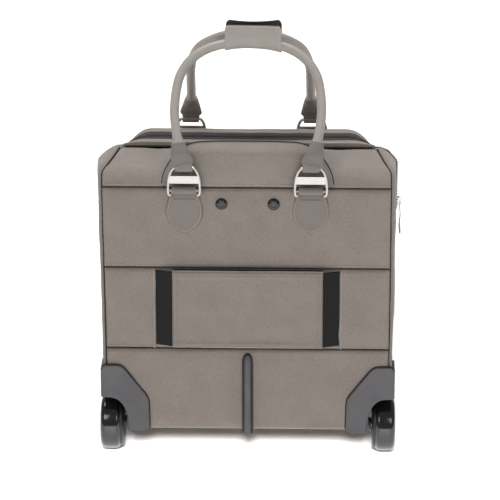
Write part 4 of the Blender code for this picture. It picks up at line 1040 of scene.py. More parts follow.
def build_tab(face, side):
    way, sign = FACES[face], SIDES[side]
    x = sign * TAB_X
    y = HALF_DEPTH + 0.0006 + LEATHER / 2
    body = f"handle_tab_{face}_{side}"
    flat = [(0.3290, 0.0002), (0.3305, 0.0032), (0.3332, 0.0074), (0.3367, 0.0126), (0.3410, 0.0173),
            (0.3460, 0.0210), (0.3530, 0.0240), (0.3610, 0.0251), (0.3700, 0.0241), (0.3780, 0.0219),
            (0.3835, 0.0195), (0.3872, 0.0176)]
    spine = [(y, z, w) for z, w in flat] + [(y + 0.0028, 0.3902, 0.0167)]
    for degrees in range(0, 290, 15):
        a = math.radians(degrees)
        spine.append((PIN_Y - LOOP_RADIUS * math.cos(a), LOWER_PIN_Z + LOOP_RADIUS * math.sin(a), 0.0165))
    spine = smooth(spine, 0.0011)
    shares = np.sin(np.linspace(-1, 1, 27) * math.pi / 2)
    grid = spread_out(x + spine[:, 2:3] * shares[None, :], way * spine[:, 0:1], spine[:, 1:2],
                      len(spine), len(shares))
    steps = unit(np.gradient(spine[:, :2], axis=0))
    out = np.stack([np.zeros(len(spine)), way * steps[:, 1], -steps[:, 0]], axis=1)
    edge = spine[:, 2:3] * (1 - np.abs(shares[None, :]))
    puff = 0.00055 * ease(edge / 0.006) - 0.00030 * np.exp(-((edge - 0.0027) / 0.0007) ** 2)
    puff = puff - 0.0007 * (1 - ease(edge / 0.0012))
    grid = grid + out[:, None, :] * (LEATHER / 2) * np.ones((1, len(shares), 1))
    relief = puff + 0.00008 * ripple(grid, 0.01, 111)
    normals = np.broadcast_to(out[:, None, :], grid.shape)
    outer = grid + normals * relief[..., None]
    inner = grid - normals * LEATHER
    tab = slab(body + "_leather", outer, inner, ["leather"], "case", [body], "leather")
    on_face = np.where(spine[:, 1] < 0.3820)[0]
    rows = []
    inset = np.clip(1 - 0.0027 / np.maximum(spine[on_face, 2], 0.0028), 0, 1)
    lift = way * (spine[on_face, 0] + LEATHER / 2 + 0.0002)
    ring = [np.stack([x + s * spine[on_face, 2] * inset, lift, spine[on_face, 1] + 0.0022 * (inset < 0.6)], axis=1)
            for s in (-1, 1)]
    ring = np.vstack([ring[0][::-1], ring[1]])
    rows.append((ring, np.broadcast_to((0.0, way, 0.0), ring.shape)))
    cross = np.stack([x + np.linspace(-0.0145, 0.0145, 20), np.full(20, way * (y + LEATHER / 2 + 0.0005)),
                      np.full(20, 0.3795)], axis=1)
    stitched(f"stitches_tab_{face}_{side}", rows, "thread", "case", 0.0027, 0.0019, 0.00034)
    rows = [(cross, np.broadcast_to((0.0, way, 0.0), cross.shape))]
    stitched(f"stitches_cross_{face}_{side}", rows, "thread_deep", "case", 0.0036, 0.0022, 0.00055)
    edge_path = np.vstack([np.stack([x + s * spine[on_face, 2] * 0.995, way * (spine[on_face, 0] - 0.0010),
                                     spine[on_face, 1]], axis=1)[::-s] for s in (-1, 1)])
    tube(f"tab_edge_{face}_{side}", edge_path, 0.0007, "thread_deep", "case", (), "leather", 6)


def slab(name, outer, inner, looks, body, replaces=(), slot=None):
    """A closed skin between two grids of the same shape."""
    rows, columns = outer.shape[:2]
    count = rows * columns
    cells = quads(rows, columns)
    front = [tuple(int(v) for v in c) for c in cells.reshape(-1, 4)]
    faces = front + [tuple(count + v for v in reversed(f)) for f in front]
    marks = [0] * len(front) + [1 if len(looks) > 1 else 0] * len(front)
    ring = [*range(columns), *[r * columns + columns - 1 for r in range(1, rows)],
            *[(rows - 1) * columns + c for c in range(columns - 2, -1, -1)],
            *[r * columns for r in range(rows - 2, 0, -1)]]
    for a, b in zip(ring, ring[1:] + ring[:1]):
        faces.append((b, a, count + a, count + b))
        marks.append(0)
    down, across = lengths(outer)
    uv = np.stack([across, down], axis=-1).reshape(-1, 2)
    points = np.vstack([outer.reshape(-1, 3), inner.reshape(-1, 3)])
    obj = made(name, points, faces, looks, body, replaces, slot, marks, np.vstack([uv, uv]))
    work = bmesh.new()
    work.from_mesh(obj.data)
    bmesh.ops.recalc_face_normals(work, faces=work.faces)
    work.to_mesh(obj.data)
    work.free()
    return obj


def handle_depth(z):
    return PIN_Y - LEAN * np.maximum(z - LEAN_START_Z, 0)


def handle_arch(face, lines=HANDLE_LINES, step=0.0022):
    """The rolled handle's centreline from the right chape to the left one."""
    way = FACES[face]
    half = lines[face]
    line = [(x, z) for x, z in half] + [(-x, z) for x, z in half[-2::-1]]
    line = smooth(line, step)
    return np.stack([line[:, 0], way * handle_depth(line[:, 1]), line[:, 1]], axis=1)


def build_handle(face):
    """A rolled leather handle with flat chapes looped over the buckles' upper bars."""
    way = FACES[face]
    stations = []
    for degrees in range(60, 271, 12):
        a = math.radians(degrees)
        centre = (TAB_X, way * (PIN_Y - LOOP_RADIUS * math.sin(a)), UPPER_PIN_Z + LOOP_RADIUS * math.cos(a))
        stations.append((centre, (0, -way * math.sin(a), math.cos(a)), 0.0108, LEATHER / 2, 0.80))
    chape = ((0.0040, 0.0043, 0.0114, 0.0011, 0.80), (0.0062, 0.0040, 0.0136, 0.0013, 0.76),
             (0.0085, 0.0032, 0.0142, 0.0018, 0.70), (0.0110, 0.0022, 0.0138, 0.0025, 0.62),
             (0.0138, 0.0012, 0.0131, 0.0033, 0.55), (0.0170, 0.0004, 0.0122, 0.0041, 0.45))
    lean_x = ROLLED_LINES[face][0][0] - TAB_X
    for rise, out, wide, thick, square in chape:
        centre = (TAB_X + lean_x * (rise / 0.0205) ** 1.2, way * (PIN_Y + out), UPPER_PIN_Z + rise)
        stations.append((centre, (0, way, 0), wide, thick, square))
    arch = handle_arch(face, ROLLED_LINES)
    half = arch[: len(arch) // 2 + 1]
    normal = unit(np.array((0.0, way, LEAN)))
    for k, centre in enumerate(half):
        rise = min(k / 9, 1)
        lean = unit((1 - rise) * np.array((0.0, way, 0.0)) + rise * normal)
        thick = 0.0048 + (HANDLE_RADIUS - 0.0048) * rise
        wide = 0.0113 + (HANDLE_RADIUS - 0.0113) * rise
        stations.append((tuple(centre), tuple(lean), wide, thick, 0.4 - 0.4 * rise))
    centres = np.array([s[0] for s in stations])
    centres = np.vstack([centres, centres[-2::-1] * (-1, 1, 1)])
    leans = np.array([s[1] for s in stations])
    leans = np.vstack([leans, leans[-2::-1]])
    sizes = np.array([s[2:] for s in stations])
    sizes = np.vstack([sizes, sizes[-2::-1]])
    tangents = unit(np.gradient(centres, axis=0))
    leans = unit(leans - tangents * (leans * tangents).sum(axis=1, keepdims=True))
    across = np.cross(tangents, leans)
    if across[0][0] < 0:
        across = -across
    sides = 32
    angles = 2 * np.pi * (np.arange(sides) + 0.5) / sides
    power = 1 - 0.62 * sizes[:, 2:3]
    c = np.sign(np.cos(angles)) * np.abs(np.cos(angles)) ** power
    s = np.sign(np.sin(angles)) * np.abs(np.sin(angles)) ** power
    along = distances(centres)
    bare = ease((along - 0.0525) / 0.0015) * ease((along[-1] - along - 0.0525) / 0.0015)
    collar = 0.0006 * (1 - bare)[:, None]
    seam = 0.0007 * np.exp(-((angles[None, :] - np.pi) / 0.10) ** 2) * bare[:, None]
    wrinkles = 0.00013 * np.sin(along[:, None] / 0.0021 + 2 * np.sin(along[:, None] / 0.013)) * np.maximum(
        -np.cos(angles), 0)[None, :] * bare[:, None]
    swell = 1 + (collar - seam + wrinkles) / HANDLE_RADIUS
    rings = (centres[:, None, :] + across[:, None, :] * (sizes[:, 0:1] * c * swell)[..., None]
             + leans[:, None, :] * (sizes[:, 1:2] * s * swell)[..., None])
    faces = []
    count = len(centres)
    for i in range(count - 1):
        for k in range(sides):
            a, b = i * sides + k, i * sides + (k + 1) % sides
            faces.append((a, b, b + sides, a + sides))
    faces += [tuple(reversed(range(sides))), tuple(range((count - 1) * sides, count * sides))]
    uv = np.stack(np.broadcast_arrays(2 * np.pi * HANDLE_RADIUS * np.arange(sides)[None, :] / sides,
                                      along[:, None]), axis=-1).reshape(-1, 2)
    marks = []
    for i in range(count - 1):
        marks += [0 if bare[i] > 0.5 else 1] * sides
    marks += [1, 1]
    body = f"tote_handle_{face}"
    obj = made(f"handle_{face}_leather", rings.reshape(-1, 3), faces, ["handle", "leather"], body,
               [f"handle_{face}"], "leather", marks, uv)
    tidy_normals(obj)
    rows = []
    for end in (1, -1):
        run = np.arange(20, 33) if end > 0 else np.arange(count - 33, count - 20)
        for edge in (-0.8, 0.8):
            pts = centres[run] + across[run] * (sizes[run, 0:1] + 0.0004) * edge
            pts = pts + leans[run] * (sizes[run, 1:2] + 0.0005) * math.sqrt(1 - edge * edge) * 0.98
            rows.append((pts, leans[run]))
        k = 19 if end > 0 else count - 20
        ring = np.array([rings[k, m] for m in range(4, 13)])
        rows.append((ring, np.broadcast_to(leans[k], ring.shape)))
    stitched(f"stitches_handle_{face}", rows, "thread_deep", body, 0.0027, 0.0018, 0.00028)
    seam_line = centres - across * (sizes[:, 0:1] * 0.985)
    inner = np.where(bare > 0.9)[0]
    stitched(f"stitches_seam_{face}", [(seam_line[inner], -across[inner])], "thread_dark", body, 0.0030, 0.0022,
             0.00024)


def build_wrap(face):
    """Half of the leather wrap that buttons round both handles."""
    way = FACES[face]
    arch = handle_arch(face)
    order = np.argsort(arch[:, 0])
    top_y = handle_depth(arch[:, 2].max())
    section = smooth([(0.0066, WRAP_TOP[face]), (0.0086, 0.0110), (0.0098, 0.0040), (0.0099, -0.0040),
                      (0.0084, -0.0100), (0.0045, -0.0137), (-0.0030, -0.0150), (0.0012 - top_y, -0.0147)], count=44)
    shares = np.linspace(-1, 1, 60)
    xs = WRAP_X + shares * WRAP_HALF_LENGTH
    zs = np.interp(xs, arch[order, 0], arch[order, 2])
    ys = handle_depth(zs)
    steps = unit(np.gradient(section, axis=0))
    away = np.stack([-steps[:, 1], steps[:, 0]], axis=1)
    if away[len(away) // 3, 0] < 0:
        away = -away
    from_top = np.cumsum(np.concatenate([[0], np.linalg.norm(np.diff(section, axis=0), axis=1)]))
    end_inset = 0.0034 * np.clip(1 - from_top / 0.0045, 0, 1) ** 2
    dip = (0.0024 if face == "front" else 0.0014) * (1 - shares ** 2)
    outer = np.zeros((len(section), 60, 3))
    inner = np.zeros_like(outer)
    for i, (out, up) in enumerate(section):
        fade = math.exp(-from_top[i] / 0.010)
        level = 0.85 * fade * (zs.max() - zs)
        shrink = 1 - end_inset[i] / WRAP_HALF_LENGTH
        for grid, half in ((outer, 0.5), (inner, -0.5)):
            x = WRAP_X + shares * WRAP_HALF_LENGTH * shrink
            pull = 0.0004 * np.sin(xs / 0.006 + i * 0.2) * math.exp(-((i - 22) / 14) ** 2)
            grid[i, :, 0] = x
            grid[i, :, 1] = way * (ys + out + away[i, 0] * LEATHER * half + pull)
            grid[i, :, 2] = zs + level + up + away[i, 1] * LEATHER * half - dip * fade
    body = f"tote_handle_{face}"
    name = f"handle_wrap_{face}"
    wrap = slab(name + "_leather", outer, inner, ["handle", "leather_inside"], body, [name], "leather")
    facing_out = (outer[15, 30] - inner[15, 30]) @ np.array((0, way, 0)) > 0
    normals = unit(outer - inner) * (1 if facing_out else -1)
    rows = [line_on(outer, normals, side, 0.0024) for side in "we"]
    rows.append(line_on(outer, normals, "s", 0.0022))
    stitched(f"stitches_wrap_{face}", rows, "thread", body, 0.0028, 0.0019, 0.00034)
    lip = even((inner[0, 1:-1] + outer[0, 1:-1]) / 2, 0.002)
    tube(f"wrap_edge_{face}", lip, 0.0011, "leather_inside", body, (), "leather", 8)
    if face == "front":
        spot = inner[9, 36] + np.array((0.0, -way * 0.0002, 0.0))
        profile = [(-0.0002, 0.0002), (-0.0003, 0.0028), (0.0004, 0.0036), (0.0008, 0.0034), (0.0010, 0.0020),
                   (0.0017, 0.0018), (0.0019, 0.0002)]
        lathed("wrap_snap", [(-way * a, r) for a, r in profile], spot, 1, "nickel", body, (), "nickel", 32)


def build_buckle(face, side):
    """A cast nickel buckle: curved side bars with hooked ends, a flat crossbar and two pins for the leather."""
    way, x = FACES[face], SIDES[side] * TAB_X
    y = way * PIN_Y
    body = f"buckles_{face}"
    half = [(0.0172, 0.3890), (0.0190, 0.3874), (0.0208, 0.3892), (0.0214, 0.3945), (0.0212, 0.4020), (0.0207, 0.4090),
            (0.0195, 0.4155), (0.0176, 0.4210), (0.0150, 0.4248), (0.0120, 0.4263), (0.0, 0.4266)]
    line = smooth([(x + a, z) for a, z in half] + [(x - a, z) for a, z in half[-2::-1]], 0.0009)
    path = np.stack([line[:, 0], np.full(len(line), y), line[:, 1]], axis=1)
    ends = np.minimum(np.arange(len(path)), np.arange(len(path))[::-1])
    radius = 0.0021 - 0.0007 * np.clip(1 - ends / 3, 0, 1)
    pin = np.array([(x - 0.0208, y, LOWER_PIN_Z), (x, y, LOWER_PIN_Z), (x + 0.0208, y, LOWER_PIN_Z)])
    points, faces, uv = joined([rod(path, radius, 12), rod(pin, 0.0020, 12)])
    frame_piece = made(f"buckle_{face}_{side}_frame", points, faces, ["nickel"], body, [f"buckle_{face}_{side}"],
                       "nickel", uvs=uv)
    tidy_normals(frame_piece)
    outline = rounded([(x - 0.0206, 0.4046), (x + 0.0206, 0.4046), (x + 0.0198, 0.4156), (x - 0.0198, 0.4156)],
                      0.0012, 4)
    low, high = sorted((y - way * 0.0016, y + way * 0.0022))
    points, faces = prism(outline, low, high, 1)
    bar = made(f"buckle_{face}_{side}_bar", points, faces, ["nickel"], body, (), "nickel", smooth_shaded=False)
    tidy_normals(bar, 0.0011, 3)


def build_pull():
    """The zip pull: a cast drop on a neck, hanging from the slider's bar."""
    low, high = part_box("zip_pull_right")
    x = (low.x + high.x) / 2
    stations = [(0.0, 0.0, 0.0024, 0.00085), (0.0040, 0.0001, 0.0030, 0.00090), (0.0090, 0.0003, 0.0032, 0.0010),
                (0.0140, 0.0007, 0.0024, 0.0010), (0.0190, 0.0006, 0.0026, 0.0010), (0.0250, 0.0000, 0.0036, 0.0011),
                (0.0310, -0.0003, 0.0050, 0.0014), (0.0360, 0.0003, 0.0058, 0.0018), (0.0400, 0.0008, 0.0056, 0.0019),
                (0.0430, 0.0009, 0.0040, 0.0015), (0.0445, 0.0009, 0.0018, 0.0008)]
    rows = smooth(stations, count=44)
    top = high.z - 0.0050
    angles = 2 * np.pi * np.arange(20) / 20
    rings = np.zeros((len(rows), 20, 3))
    rings[..., 0] = x + rows[:, 1:2] + rows[:, 3:4] * np.cos(angles)[None, :]
    rings[..., 1] = rows[:, 2:3] * np.sin(angles)[None, :]
    rings[..., 2] = top - rows[:, 0:1]
    faces = [(i * 20 + k, i * 20 + (k + 1) % 20, (i + 1) * 20 + (k + 1) % 20, (i + 1) * 20 + k)
             for i in range(len(rows) - 1) for k in range(20)]
    faces += [tuple(range(20)), tuple(range(len(rows) * 20 - 20, len(rows) * 20))]
    drop = (rings.reshape(-1, 3), faces, np.zeros((rings.shape[0] * 20, 2)))
    turn = np.linspace(0, 2 * math.pi, 29)[:-1]
    loop = np.stack([np.full(28, x), 0.0031 * np.sin(turn), high.z - 0.0034 + 0.0028 * np.cos(turn)], axis=1)
    points, faces, uv = joined([drop, rod(loop, 0.0006, 8, closed=True)])
    obj = made("zip_pull_right_drop", points, faces, ["zip_metal"], "pull_right", ["zip_pull_right"], "nickel", uvs=uv)
    tidy_normals(obj)


# ---------------------------------------------------------------- running gear


def build_wheels():
    for side, sign in SIDES.items():
        low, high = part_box(f"wheel_{side}")
        half = (high.x - low.x) / 2 + TYRE_GROWTH
        centre = ((low.x + high.x) / 2 - sign * TYRE_INSET, WHEEL_Y, WHEEL_RADIUS)
        shoulder = [(half - 0.0070 * (1 - math.sin(math.radians(a))),
                     WHEEL_RADIUS - 0.0075 + 0.0072 * math.cos(math.radians(a))) for a in range(90, -1, -10)]
        outer_half = [(half - 0.0016, 0.0232), (half - 0.0003, 0.0250), *shoulder]
        section = [(-a, r) for a, r in outer_half] + [(0.0, WHEEL_RADIUS)]
        section += [(a, r) for a, r in reversed(outer_half)]
        lathed(f"wheel_{side}_tyre", [(sign * a, r) for a, r in section], centre, 0, "wheel", f"wheel_{side}",
               [f"wheel_{side}"], "wheel_polymer", 128)
        hub = [(-half + 0.0002, 0.0044), (-half, 0.0085), (-half + 0.0010, 0.0100), (-half + 0.0034, 0.0108),
               (-half + 0.0040, 0.0205), (-half + 0.0016, 0.0222), (-half + 0.0018, 0.0238)]
        profile = hub + [(-a, r) for a, r in reversed(hub)]
        lathed(f"wheel_{side}_hub", [(sign * a, r) for a, r in profile], centre, 0, "hub", f"wheel_{side}", (),
               "wheel_polymer", 96)
        disc = [(0.1738, 0.0100), (0.1738, 0.0310), (0.1744, 0.0326), (0.1760, 0.0338), (0.1790, 0.0346),
                (0.1815, 0.0346), (0.1815, 0.0100)]
        lathed(f"wheel_{side}_rim", [(sign * a, r) for a, r in disc], (0, WHEEL_Y, WHEEL_RADIUS), 0, "hub",
               f"wheel_{side}", (), "wheel_polymer", 96)
        parts = []
        for k in range(5):
            turn = 2 * math.pi * k / 5
            for way in (-1, 1):
                path = []
                for r in np.linspace(0.0095, 0.0222, 6):
                    path.append((centre[0] + way * (half - 0.0030), centre[1] + r * math.cos(turn),
                                 centre[2] + r * math.sin(turn)))
                parts.append(rod(np.array(path), np.linspace(0.0021, 0.0015, 6), 10))
        points, faces, uv = joined(parts)
        made(f"wheel_{side}_spokes", points, faces, ["hub"], f"wheel_{side}", (), "wheel_polymer", uvs=uv)
        cap = [(0.1995, 0.0002), (0.1995, 0.0060), (0.2052, 0.0060), (0.2064, 0.0048), (0.2067, 0.0002)]
        lathed(f"axle_cap_{side}", [(sign * a, r) for a, r in cap], (0, WHEEL_Y, WHEEL_RADIUS), 0, "axle_steel",
               "case", (), "axle_steel", 40)


def rounded(points, radius, steps=5):
    """A closed outline with its corners rounded."""
    out = []
    count = len(points)
    for k in range(count):
        a, b, c = (np.array(points[(k + d) % count], float) for d in (-1, 0, 1))
        before, after = a - b, c - b
        room = min(radius, 0.45 * np.linalg.norm(before), 0.45 * np.linalg.norm(after))
        start, end = b + unit(before) * room, b + unit(after) * room
        for t in np.linspace(0, 1, steps):
            out.append(tuple((1 - t) ** 2 * start + 2 * t * (1 - t) * b + t * t * end))
    return out


def build_guards():
    """Moulded corner guards that carry the wheels: a face plate, a side plate and the wheel's well."""
    for side, sign in SIDES.items():
        arch = [(0.1655, 0.0372), (0.1657, 0.0480), (0.1672, 0.0590), (0.1702, 0.0685), (0.1745, 0.0765),
                (0.1800, 0.0825), (0.1870, 0.0858), (0.1950, 0.0867), (0.2030, 0.0868)]
        rest = [(0.2030, 0.1346), (0.1745, 0.1346), (0.1376, 0.0870), (0.1365, 0.0372)]
        front = rounded_face(arch, rest, 0.0075)
        flank_arch = [(-0.0270, 0.0372), (-0.0276, 0.0480), (-0.0300, 0.0590), (-0.0345, 0.0690), (-0.0410, 0.0775),
                      (-0.0500, 0.0840), (-0.0610, 0.0867), (-0.0740, 0.0870), (-0.1036, 0.0870)]
        flank_rest = [(-0.1036, 0.1290), (-0.0620, 0.1310), (-0.0152, 0.0930), (-0.0150, 0.0372)]
        flank = rounded_face(flank_arch, flank_rest, 0.0065)
        name = f"corner_guard_{side}"
        pieces = []
        points, faces = prism([(sign * x, z) for x, z in front], -0.1044, -0.1008, 1)
        pieces.append((points, faces, 0.0012))
        low, high = sorted((sign * 0.2008, sign * 0.2042))
        points, faces = prism(flank, low, high, 0)
        pieces.append((points, faces, 0.0014))
        for k, (points, faces, bevel) in enumerate(pieces):
            label = ("face", "flank")[k]
            obj = made(f"{name}_{label}", points, faces, ["guard"], "case", [name] if k == 0 else (),
                       "guard_plastic", smooth_shaded=False)
            tidy_normals(obj, bevel, 3)
        start = next(k for k, p in enumerate(front) if p[1] > 0.12)
        edge = np.array([(sign * x, -0.1040, z) for x, z in front[start:]])
        centre = np.array((sign * 0.170, -0.1040, 0.085))
        rim = edge + unit(centre - edge) * 0.0020
        tube(f"{name}_rim", even(rim, 0.002), 0.0009, "guard", "case", (), "guard_plastic", 8)
        # Painted shade: a dark cord along the guard face's upper edge stands in for the shadow in the gap there.
        shade_cord(f"{name}_gap", edge + unit(edge - centre) * 0.0004 + np.array((0, 0.0026, 0)), "case", 0.0012)
        well_walls(name, sign)


def rounded_face(arch, rest, radius):
    """The arch followed by the other corners, those rounded."""
    loop = rounded([arch[-1], *rest, arch[0]], radius, 6)
    kept = loop[6:-6]
    return [tuple(p) for p in smooth(arch, 0.0025)] + [tuple(p) for p in kept]


def well_walls(name, sign):
    walls = [
        ((0.1652, -0.1010, 0.0374), (0.1682, -0.0222, 0.0915)),
        ((0.1653, -0.1010, 0.0885), (0.2012, -0.0223, 0.0914)),
        ((0.1654, -0.0251, 0.0376), (0.2012, -0.0221, 0.0913)),
    ]
    for k, (low, high) in enumerate(walls):
        outline = [(sign * low[0], low[1]), (sign * high[0], low[1]), (sign * high[0], high[1]),
                   (sign * low[0], high[1])]
        points, faces = prism(outline, low[2], high[2], 2)
        obj = made(f"{name}_well_{k}", points, faces, ["guard"], "case", (), "guard_plastic", smooth_shaded=False)
        tidy_normals(obj, 0.0007, 2)
    boss = [(0.1675, 0.0042), (0.1675, 0.0090), (0.1726, 0.0084), (0.1732, 0.0074), (0.1732, 0.0042)]
    lathed(f"{name}_boss", [(sign * a, r) for a, r in boss], (0, WHEEL_Y, WHEEL_RADIUS), 0, "guard", "case", (),
           "guard_plastic", 48)


def build_skid():
    half = [(0.0078, 0.0006), (0.0077, 0.0018), (0.0070, 0.0024), (0.0058, 0.0025), (0.0050, 0.0032),
            (0.0046, 0.0052), (0.0038, 0.0070), (0.0020, 0.0081)]
    section = smooth([(-a, b) for a, b in half] + [(0, 0.0084)] + half[::-1], count=56)
    levels = [(0.0345, 0.90, 0.80), (0.0352, 0.96, 0.92), (0.0375, 1, 1), (0.0700, 1, 1), (0.1100, 1, 1),
              (0.1360, 1, 1), (0.1420, 0.97, 0.96), (0.1465, 0.88, 0.85), (0.1500, 0.70, 0.66), (0.1522, 0.47, 0.46),
              (0.1534, 0.22, 0.30)]
    levels = smooth(levels, 0.0012)
    outer = np.zeros((len(levels), len(section), 3))
    for i, (z, spread, rise) in enumerate(levels):
        outer[i, :, 0] = section[:, 0] * min(spread, 1)
        outer[i, :, 1] = -HALF_DEPTH - 0.0004 - section[:, 1] * min(rise, 1)
        outer[i, :, 2] = z
    inner = outer.copy()
    inner[..., 1] = -HALF_DEPTH - 0.0002
    rail = slab("skid_rail_moulding", outer, inner, ["skid"], "case", ["skid_rail"], "black_plastic")
    rail.data.materials.append(LOOKS["guard"])
    for face in rail.data.polygons:
        if abs(face.center.x) < 0.0046 and face.center.y < -HALF_DEPTH - 0.0035 and face.center.z < 0.1515:
            face.material_index = 1


def build_rivets():
    for side in SIDES:
        low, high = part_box(f"rivet_{side}")
        centre = ((low.x + high.x) / 2, -HALF_DEPTH, (low.z + high.z) / 2)
        profile = [(0.0002, 0.0002), (0.0002, 0.0080), (-0.0006, 0.0084), (-0.0012, 0.0083), (-0.0020, 0.0080),
                   (-0.0030, 0.0073), (-0.0039, 0.0062), (-0.0045, 0.0050), (-0.0048, 0.0040), (-0.0046, 0.0034),
                   (-0.0041, 0.0029), (-0.0040, 0.0012), (-0.0040, 0.0002)]
        lathed(f"rivet_{side}_dome", profile, centre, 1, "rivet", "case", [f"rivet_{side}"], "black_plastic", 64)


def build_feet():
    for side in SIDES:
        low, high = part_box(f"foot_{side}")
        centre = ((low.x + high.x) / 2, (low.y + high.y) / 2, 0)
        profile = [(0.0, 0.0002), (0.0, 0.0128), (0.0008, 0.0138), (0.0030, 0.0143), (0.0034, 0.0138), (0.0042, 0.0141),
                   (0.0240, 0.0157), (0.0330, 0.0186), (0.0392, 0.0199), (0.0396, 0.0196), (0.0396, 0.0002)]
        lathed(f"foot_{side}_moulding", profile, centre, 2, "rubber", "case", [f"foot_{side}"], "black_plastic", 64)


# ---------------------------------------------------------------- front pocket and linings


def build_pocket():
    """The padded patch pocket on the front, open along its top, with a bound edge."""
    x, y = POCKET_HIGH.x, POCKET_HIGH.y
    zs = np.linspace(POCKET_LOW.z, POCKET_HIGH.z, 96)
    section = [(-x, HALF_DEPTH + 0.0006), (-x, y - 0.0040), (-x + 0.0012, y - 0.0014), (-x + 0.005, y)]
    section += [(s, y) for s in np.linspace(-0.135, 0.135, 9)]
    section += [(-a, b) for a, b in section[3::-1]]
    section = even(section, 0.0024)
    grid = spread_out(section[None, :, 0], section[None, :, 1], zs[:, None], len(zs), len(section))
    down, _ = lengths(grid)
    share = np.clip(1 - (grid[..., 0] / x) ** 2, 0, 1)
    round_bottom = 1 - ease(down / 0.010)
    grid[..., 1] -= (grid[..., 1] - HALF_DEPTH - 0.0006) * round_bottom * 0.75
    relief = 0.0004 * ripple(grid, 0.07, 121) * share - 0.0005 * share * (1 - np.abs(2 * down / down[-1] - 1))
    away = np.array((0, 0, 0.19))
    _, outer, normals = skin("front_pocket_cloth", grid, 0.0018, CLOTH, "case",
                             ["front_pocket"], "case_fabric", relief, 0.0005, 0.003, away=away)
    rows = [line_on(outer, normals, "n", 0.010), line_on(outer, normals, "n", 0.0030)]
    stitched("stitches_pocket", rows, "thread_dark", "case", *CASE_STITCH, 0.00026)
    edge = even(outer[-1] - normals[-1] * 0.0009, 0.0024)
    tube("front_pocket_binding", edge, 0.0014, "leather", "case", (), "leather", 10)


def build_linings():
    """The wall in front of the trolley, and the padded laptop sleeve, quilted in channels."""
    xs, zs = np.linspace(-0.192, 0.192, 150), np.linspace(0.048, 0.415, 140)
    grid = spread_out(xs[None, :], -0.0575, zs[:, None], len(zs), len(xs))
    skin("inner_wall_lining", grid, 0.0022, ["lining", "lining"], "case", ["inner_wall"], "lining_fabric",
         0.0003 * ripple(grid, 0.05, 131), 0.0004, 0.004, away=np.array((0, -0.09, 0.24)),
         hole=lambda c: (np.abs(c[..., 0]) > 0.160) & (c[..., 2] < 0.095)
         | (np.abs(c[..., 0]) + (c[..., 2] - 0.396) * 1.05 > 0.192) & (c[..., 2] > 0.396))
    low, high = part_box("laptop_sleeve")
    xs, zs = np.linspace(low.x + 0.001, high.x - 0.001, 130), np.linspace(low.z + 0.002, high.z, 90)
    grid = spread_out(xs[None, :], high.y - 0.0012, zs[:, None], len(zs), len(xs))
    quilt = np.abs(np.sin(math.pi * (grid[..., 2] - low.z) / 0.032))
    relief = 0.0010 * quilt ** 0.5 - 0.0004 + 0.0003 * ripple(grid, 0.04, 132)
    front, outer, normals = skin("laptop_sleeve_padding", grid, 0.0034, ["lining", "lining"], "case",
                                 ["laptop_sleeve"], "lining_fabric", relief, 0.0012, 0.004,
                                 away=np.array((0, -0.09, 0.24)), declare=False)
    back = grid.copy()
    back[..., 1] = low.y + 0.0036
    rear, _, _ = skin("laptop_sleeve_back", back, 0.0026, ["lining", "lining"], "case", (), "lining_fabric",
                      relief * 0.5, 0.0010, 0.004, away=np.array((0, -0.09, 0.24)), declare=False)
    stitched("stitches_laptop_sleeve", [line_on(outer, normals, side, 0.004) for side in "nsew"], "thread_dark",
             "case", *CASE_STITCH, 0.00026)
    for k, sign in enumerate((-1, 1)):
        path = smooth([(sign * (high.x - 0.003), low.y + 0.003, low.z + 0.004),
                       (sign * (high.x - 0.002), (low.y + high.y) / 2, low.z + 0.001),
                       (sign * (high.x - 0.003), high.y - 0.003, low.z + 0.004)], 0.002)
        tube(f"laptop_sleeve_corner_{k}", path, 0.0012, "elastic", "case", (), "elastic", 8)
    xs = np.linspace(low.x + 0.001, high.x - 0.001, 100)
    ys = np.linspace(low.y + 0.001, high.y - 0.001, 14)
    grid = np.stack([*np.meshgrid(xs, ys), np.full((14, 100), low.z + 0.0038)], axis=-1)
    floor, _, _ = skin("laptop_sleeve_floor", grid, 0.0034, ["lining"], "case", (), "lining_fabric",
                       0.0002 * ripple(grid, 0.03, 133), 0.0004, 0.003, away=np.array((0, -0.045, 0)), declare=False)


# ---------------------------------------------------------------- CAD pieces that stay


def keep_hard_parts():
    """The CAD's own metal and plastic pieces, with rounded edges and their finishes."""
    looks = {
        "zip_slider": ("zip_metal", 0.0004, 2),
        "tube": ("aluminium", 0, 0), "axle": ("axle_steel", 0.0004, 2), "trolley_grip": ("black_plastic", 0, 0),
        "trolley_button": ("button_metal", 0.0008, 3), "trolley_top": ("black_plastic", 0.0008, 2),
        "trolley_bottom": ("black_plastic", 0.0008, 2), "base_board": ("black_plastic", 0.0005, 2),
    }
    for name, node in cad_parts.items():
        if node.hide_render:
            continue
        for start, (look, bevel, segments) in looks.items():
            if not name.startswith(start):
                continue
            node.data.materials.clear()
            node.data.materials.append(LOOKS[look])
            weld = node.modifiers.new("one_surface", "WELD")
            weld.merge_threshold = 0.00001
            if bevel:
                bevelled(node, bevel, segments, 40)
            node.data.polygons.foreach_set("use_smooth", [True] * len(node.data.polygons))
            soft = node.modifiers.new("flat_faces", "WEIGHTED_NORMAL")
            soft.keep_sharp = True


# ---------------------------------------------------------------- room, light and camera


def placed(name, data):
    obj = bpy.data.objects.new(name, data)
    bpy.context.scene.collection.objects.link(obj)
    return obj


def aimed(obj, place, target):
    obj.location = place
    obj.rotation_mode = "QUATERNION"
    obj.rotation_quaternion = (Vector(target) - Vector(place)).to_track_quat("-Z", "Y")


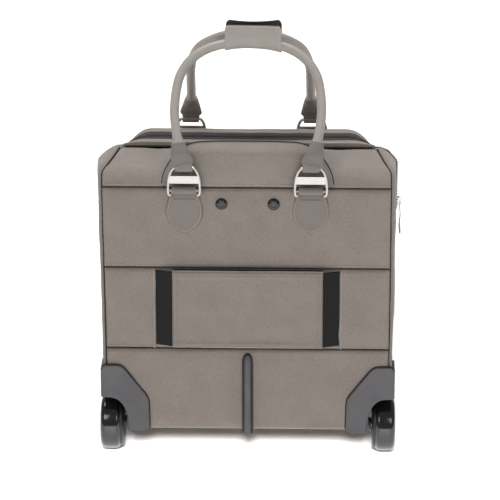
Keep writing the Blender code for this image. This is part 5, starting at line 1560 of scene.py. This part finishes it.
def sun(name, energy, width, tilt, group, floor, state):
    """A sun that shines only on the floor, or on all but the floor. Angles are in degrees."""
    light = bpy.data.lights.new(name, "SUN")
    light.energy, light.angle = energy, math.radians(width)
    lamp = placed(name, light)
    lamp.rotation_euler = [math.radians(a) for a in tilt]
    linked = bpy.data.collections.new(group)
    linked.objects.link(floor)
    lamp.light_linking.receiver_collection = linked
    linked.collection_objects[0].light_linking.link_state = state


def build_stage():
    mesh = bpy.data.meshes.new("floor")
    mesh.from_pydata([(-15, -15, 0), (15, -15, 0), (15, 15, 0), (-15, 15, 0)], [], [(0, 1, 2, 3)])
    mesh.materials.append(pale_floor())
    floor = placed("floor", mesh)
    floor.location.z = -0.0004

    world = bpy.data.worlds.new("studio")
    world.use_nodes = True
    sky = world.node_tree.nodes["Background"]
    sky.inputs["Color"].default_value = (1.0, 1.0, 1.0, 1)
    sky.inputs["Strength"].default_value = 0.28
    bpy.context.scene.world = world

    sun("overhead", 3.5, 32, (-12, -3, 0), "spared_by_overhead", floor, "EXCLUDE")
    for name, place, power in (("softbox_left", (-0.9, -1.9, 1.6), 9), ("softbox_right", (0.9, -1.9, 1.4), 7)):
        light = bpy.data.lights.new(name, "AREA")
        light.energy, light.size = power, 0.8
        aimed(placed(name, light), place, (0, 0, 0.28))
    sun("floor_wash", 7.8, 16, (55, 0, 0), "lit_by_floor_wash", floor, "INCLUDE")

    camera = bpy.data.cameras.new("camera")
    camera.lens, camera.sensor_width, camera.clip_end = 218.6, 36, 60
    eye = placed("camera", camera)
    aimed(eye, (0.0998, -3.9985, 1.7248), (0.0033, -0.1000, 0.3054))
    bpy.context.scene.camera = eye
    bpy.context.scene.view_settings.view_transform = "Standard"


def main():
    build_panels()
    build_sides()
    build_piping()
    build_top_zip()
    build_zip_gap()
    build_sleeve()
    build_flap()
    for face in FACES:
        for side in SIDES:
            build_tab(face, side)
            build_buckle(face, side)
        build_handle(face)
        build_wrap(face)
    build_pull()
    build_wheels()
    build_guards()
    build_skid()
    build_rivets()
    build_feet()
    build_pocket()
    build_linings()
    keep_hard_parts()
    build_stage()


main()
bpy.context.view_layer.update()
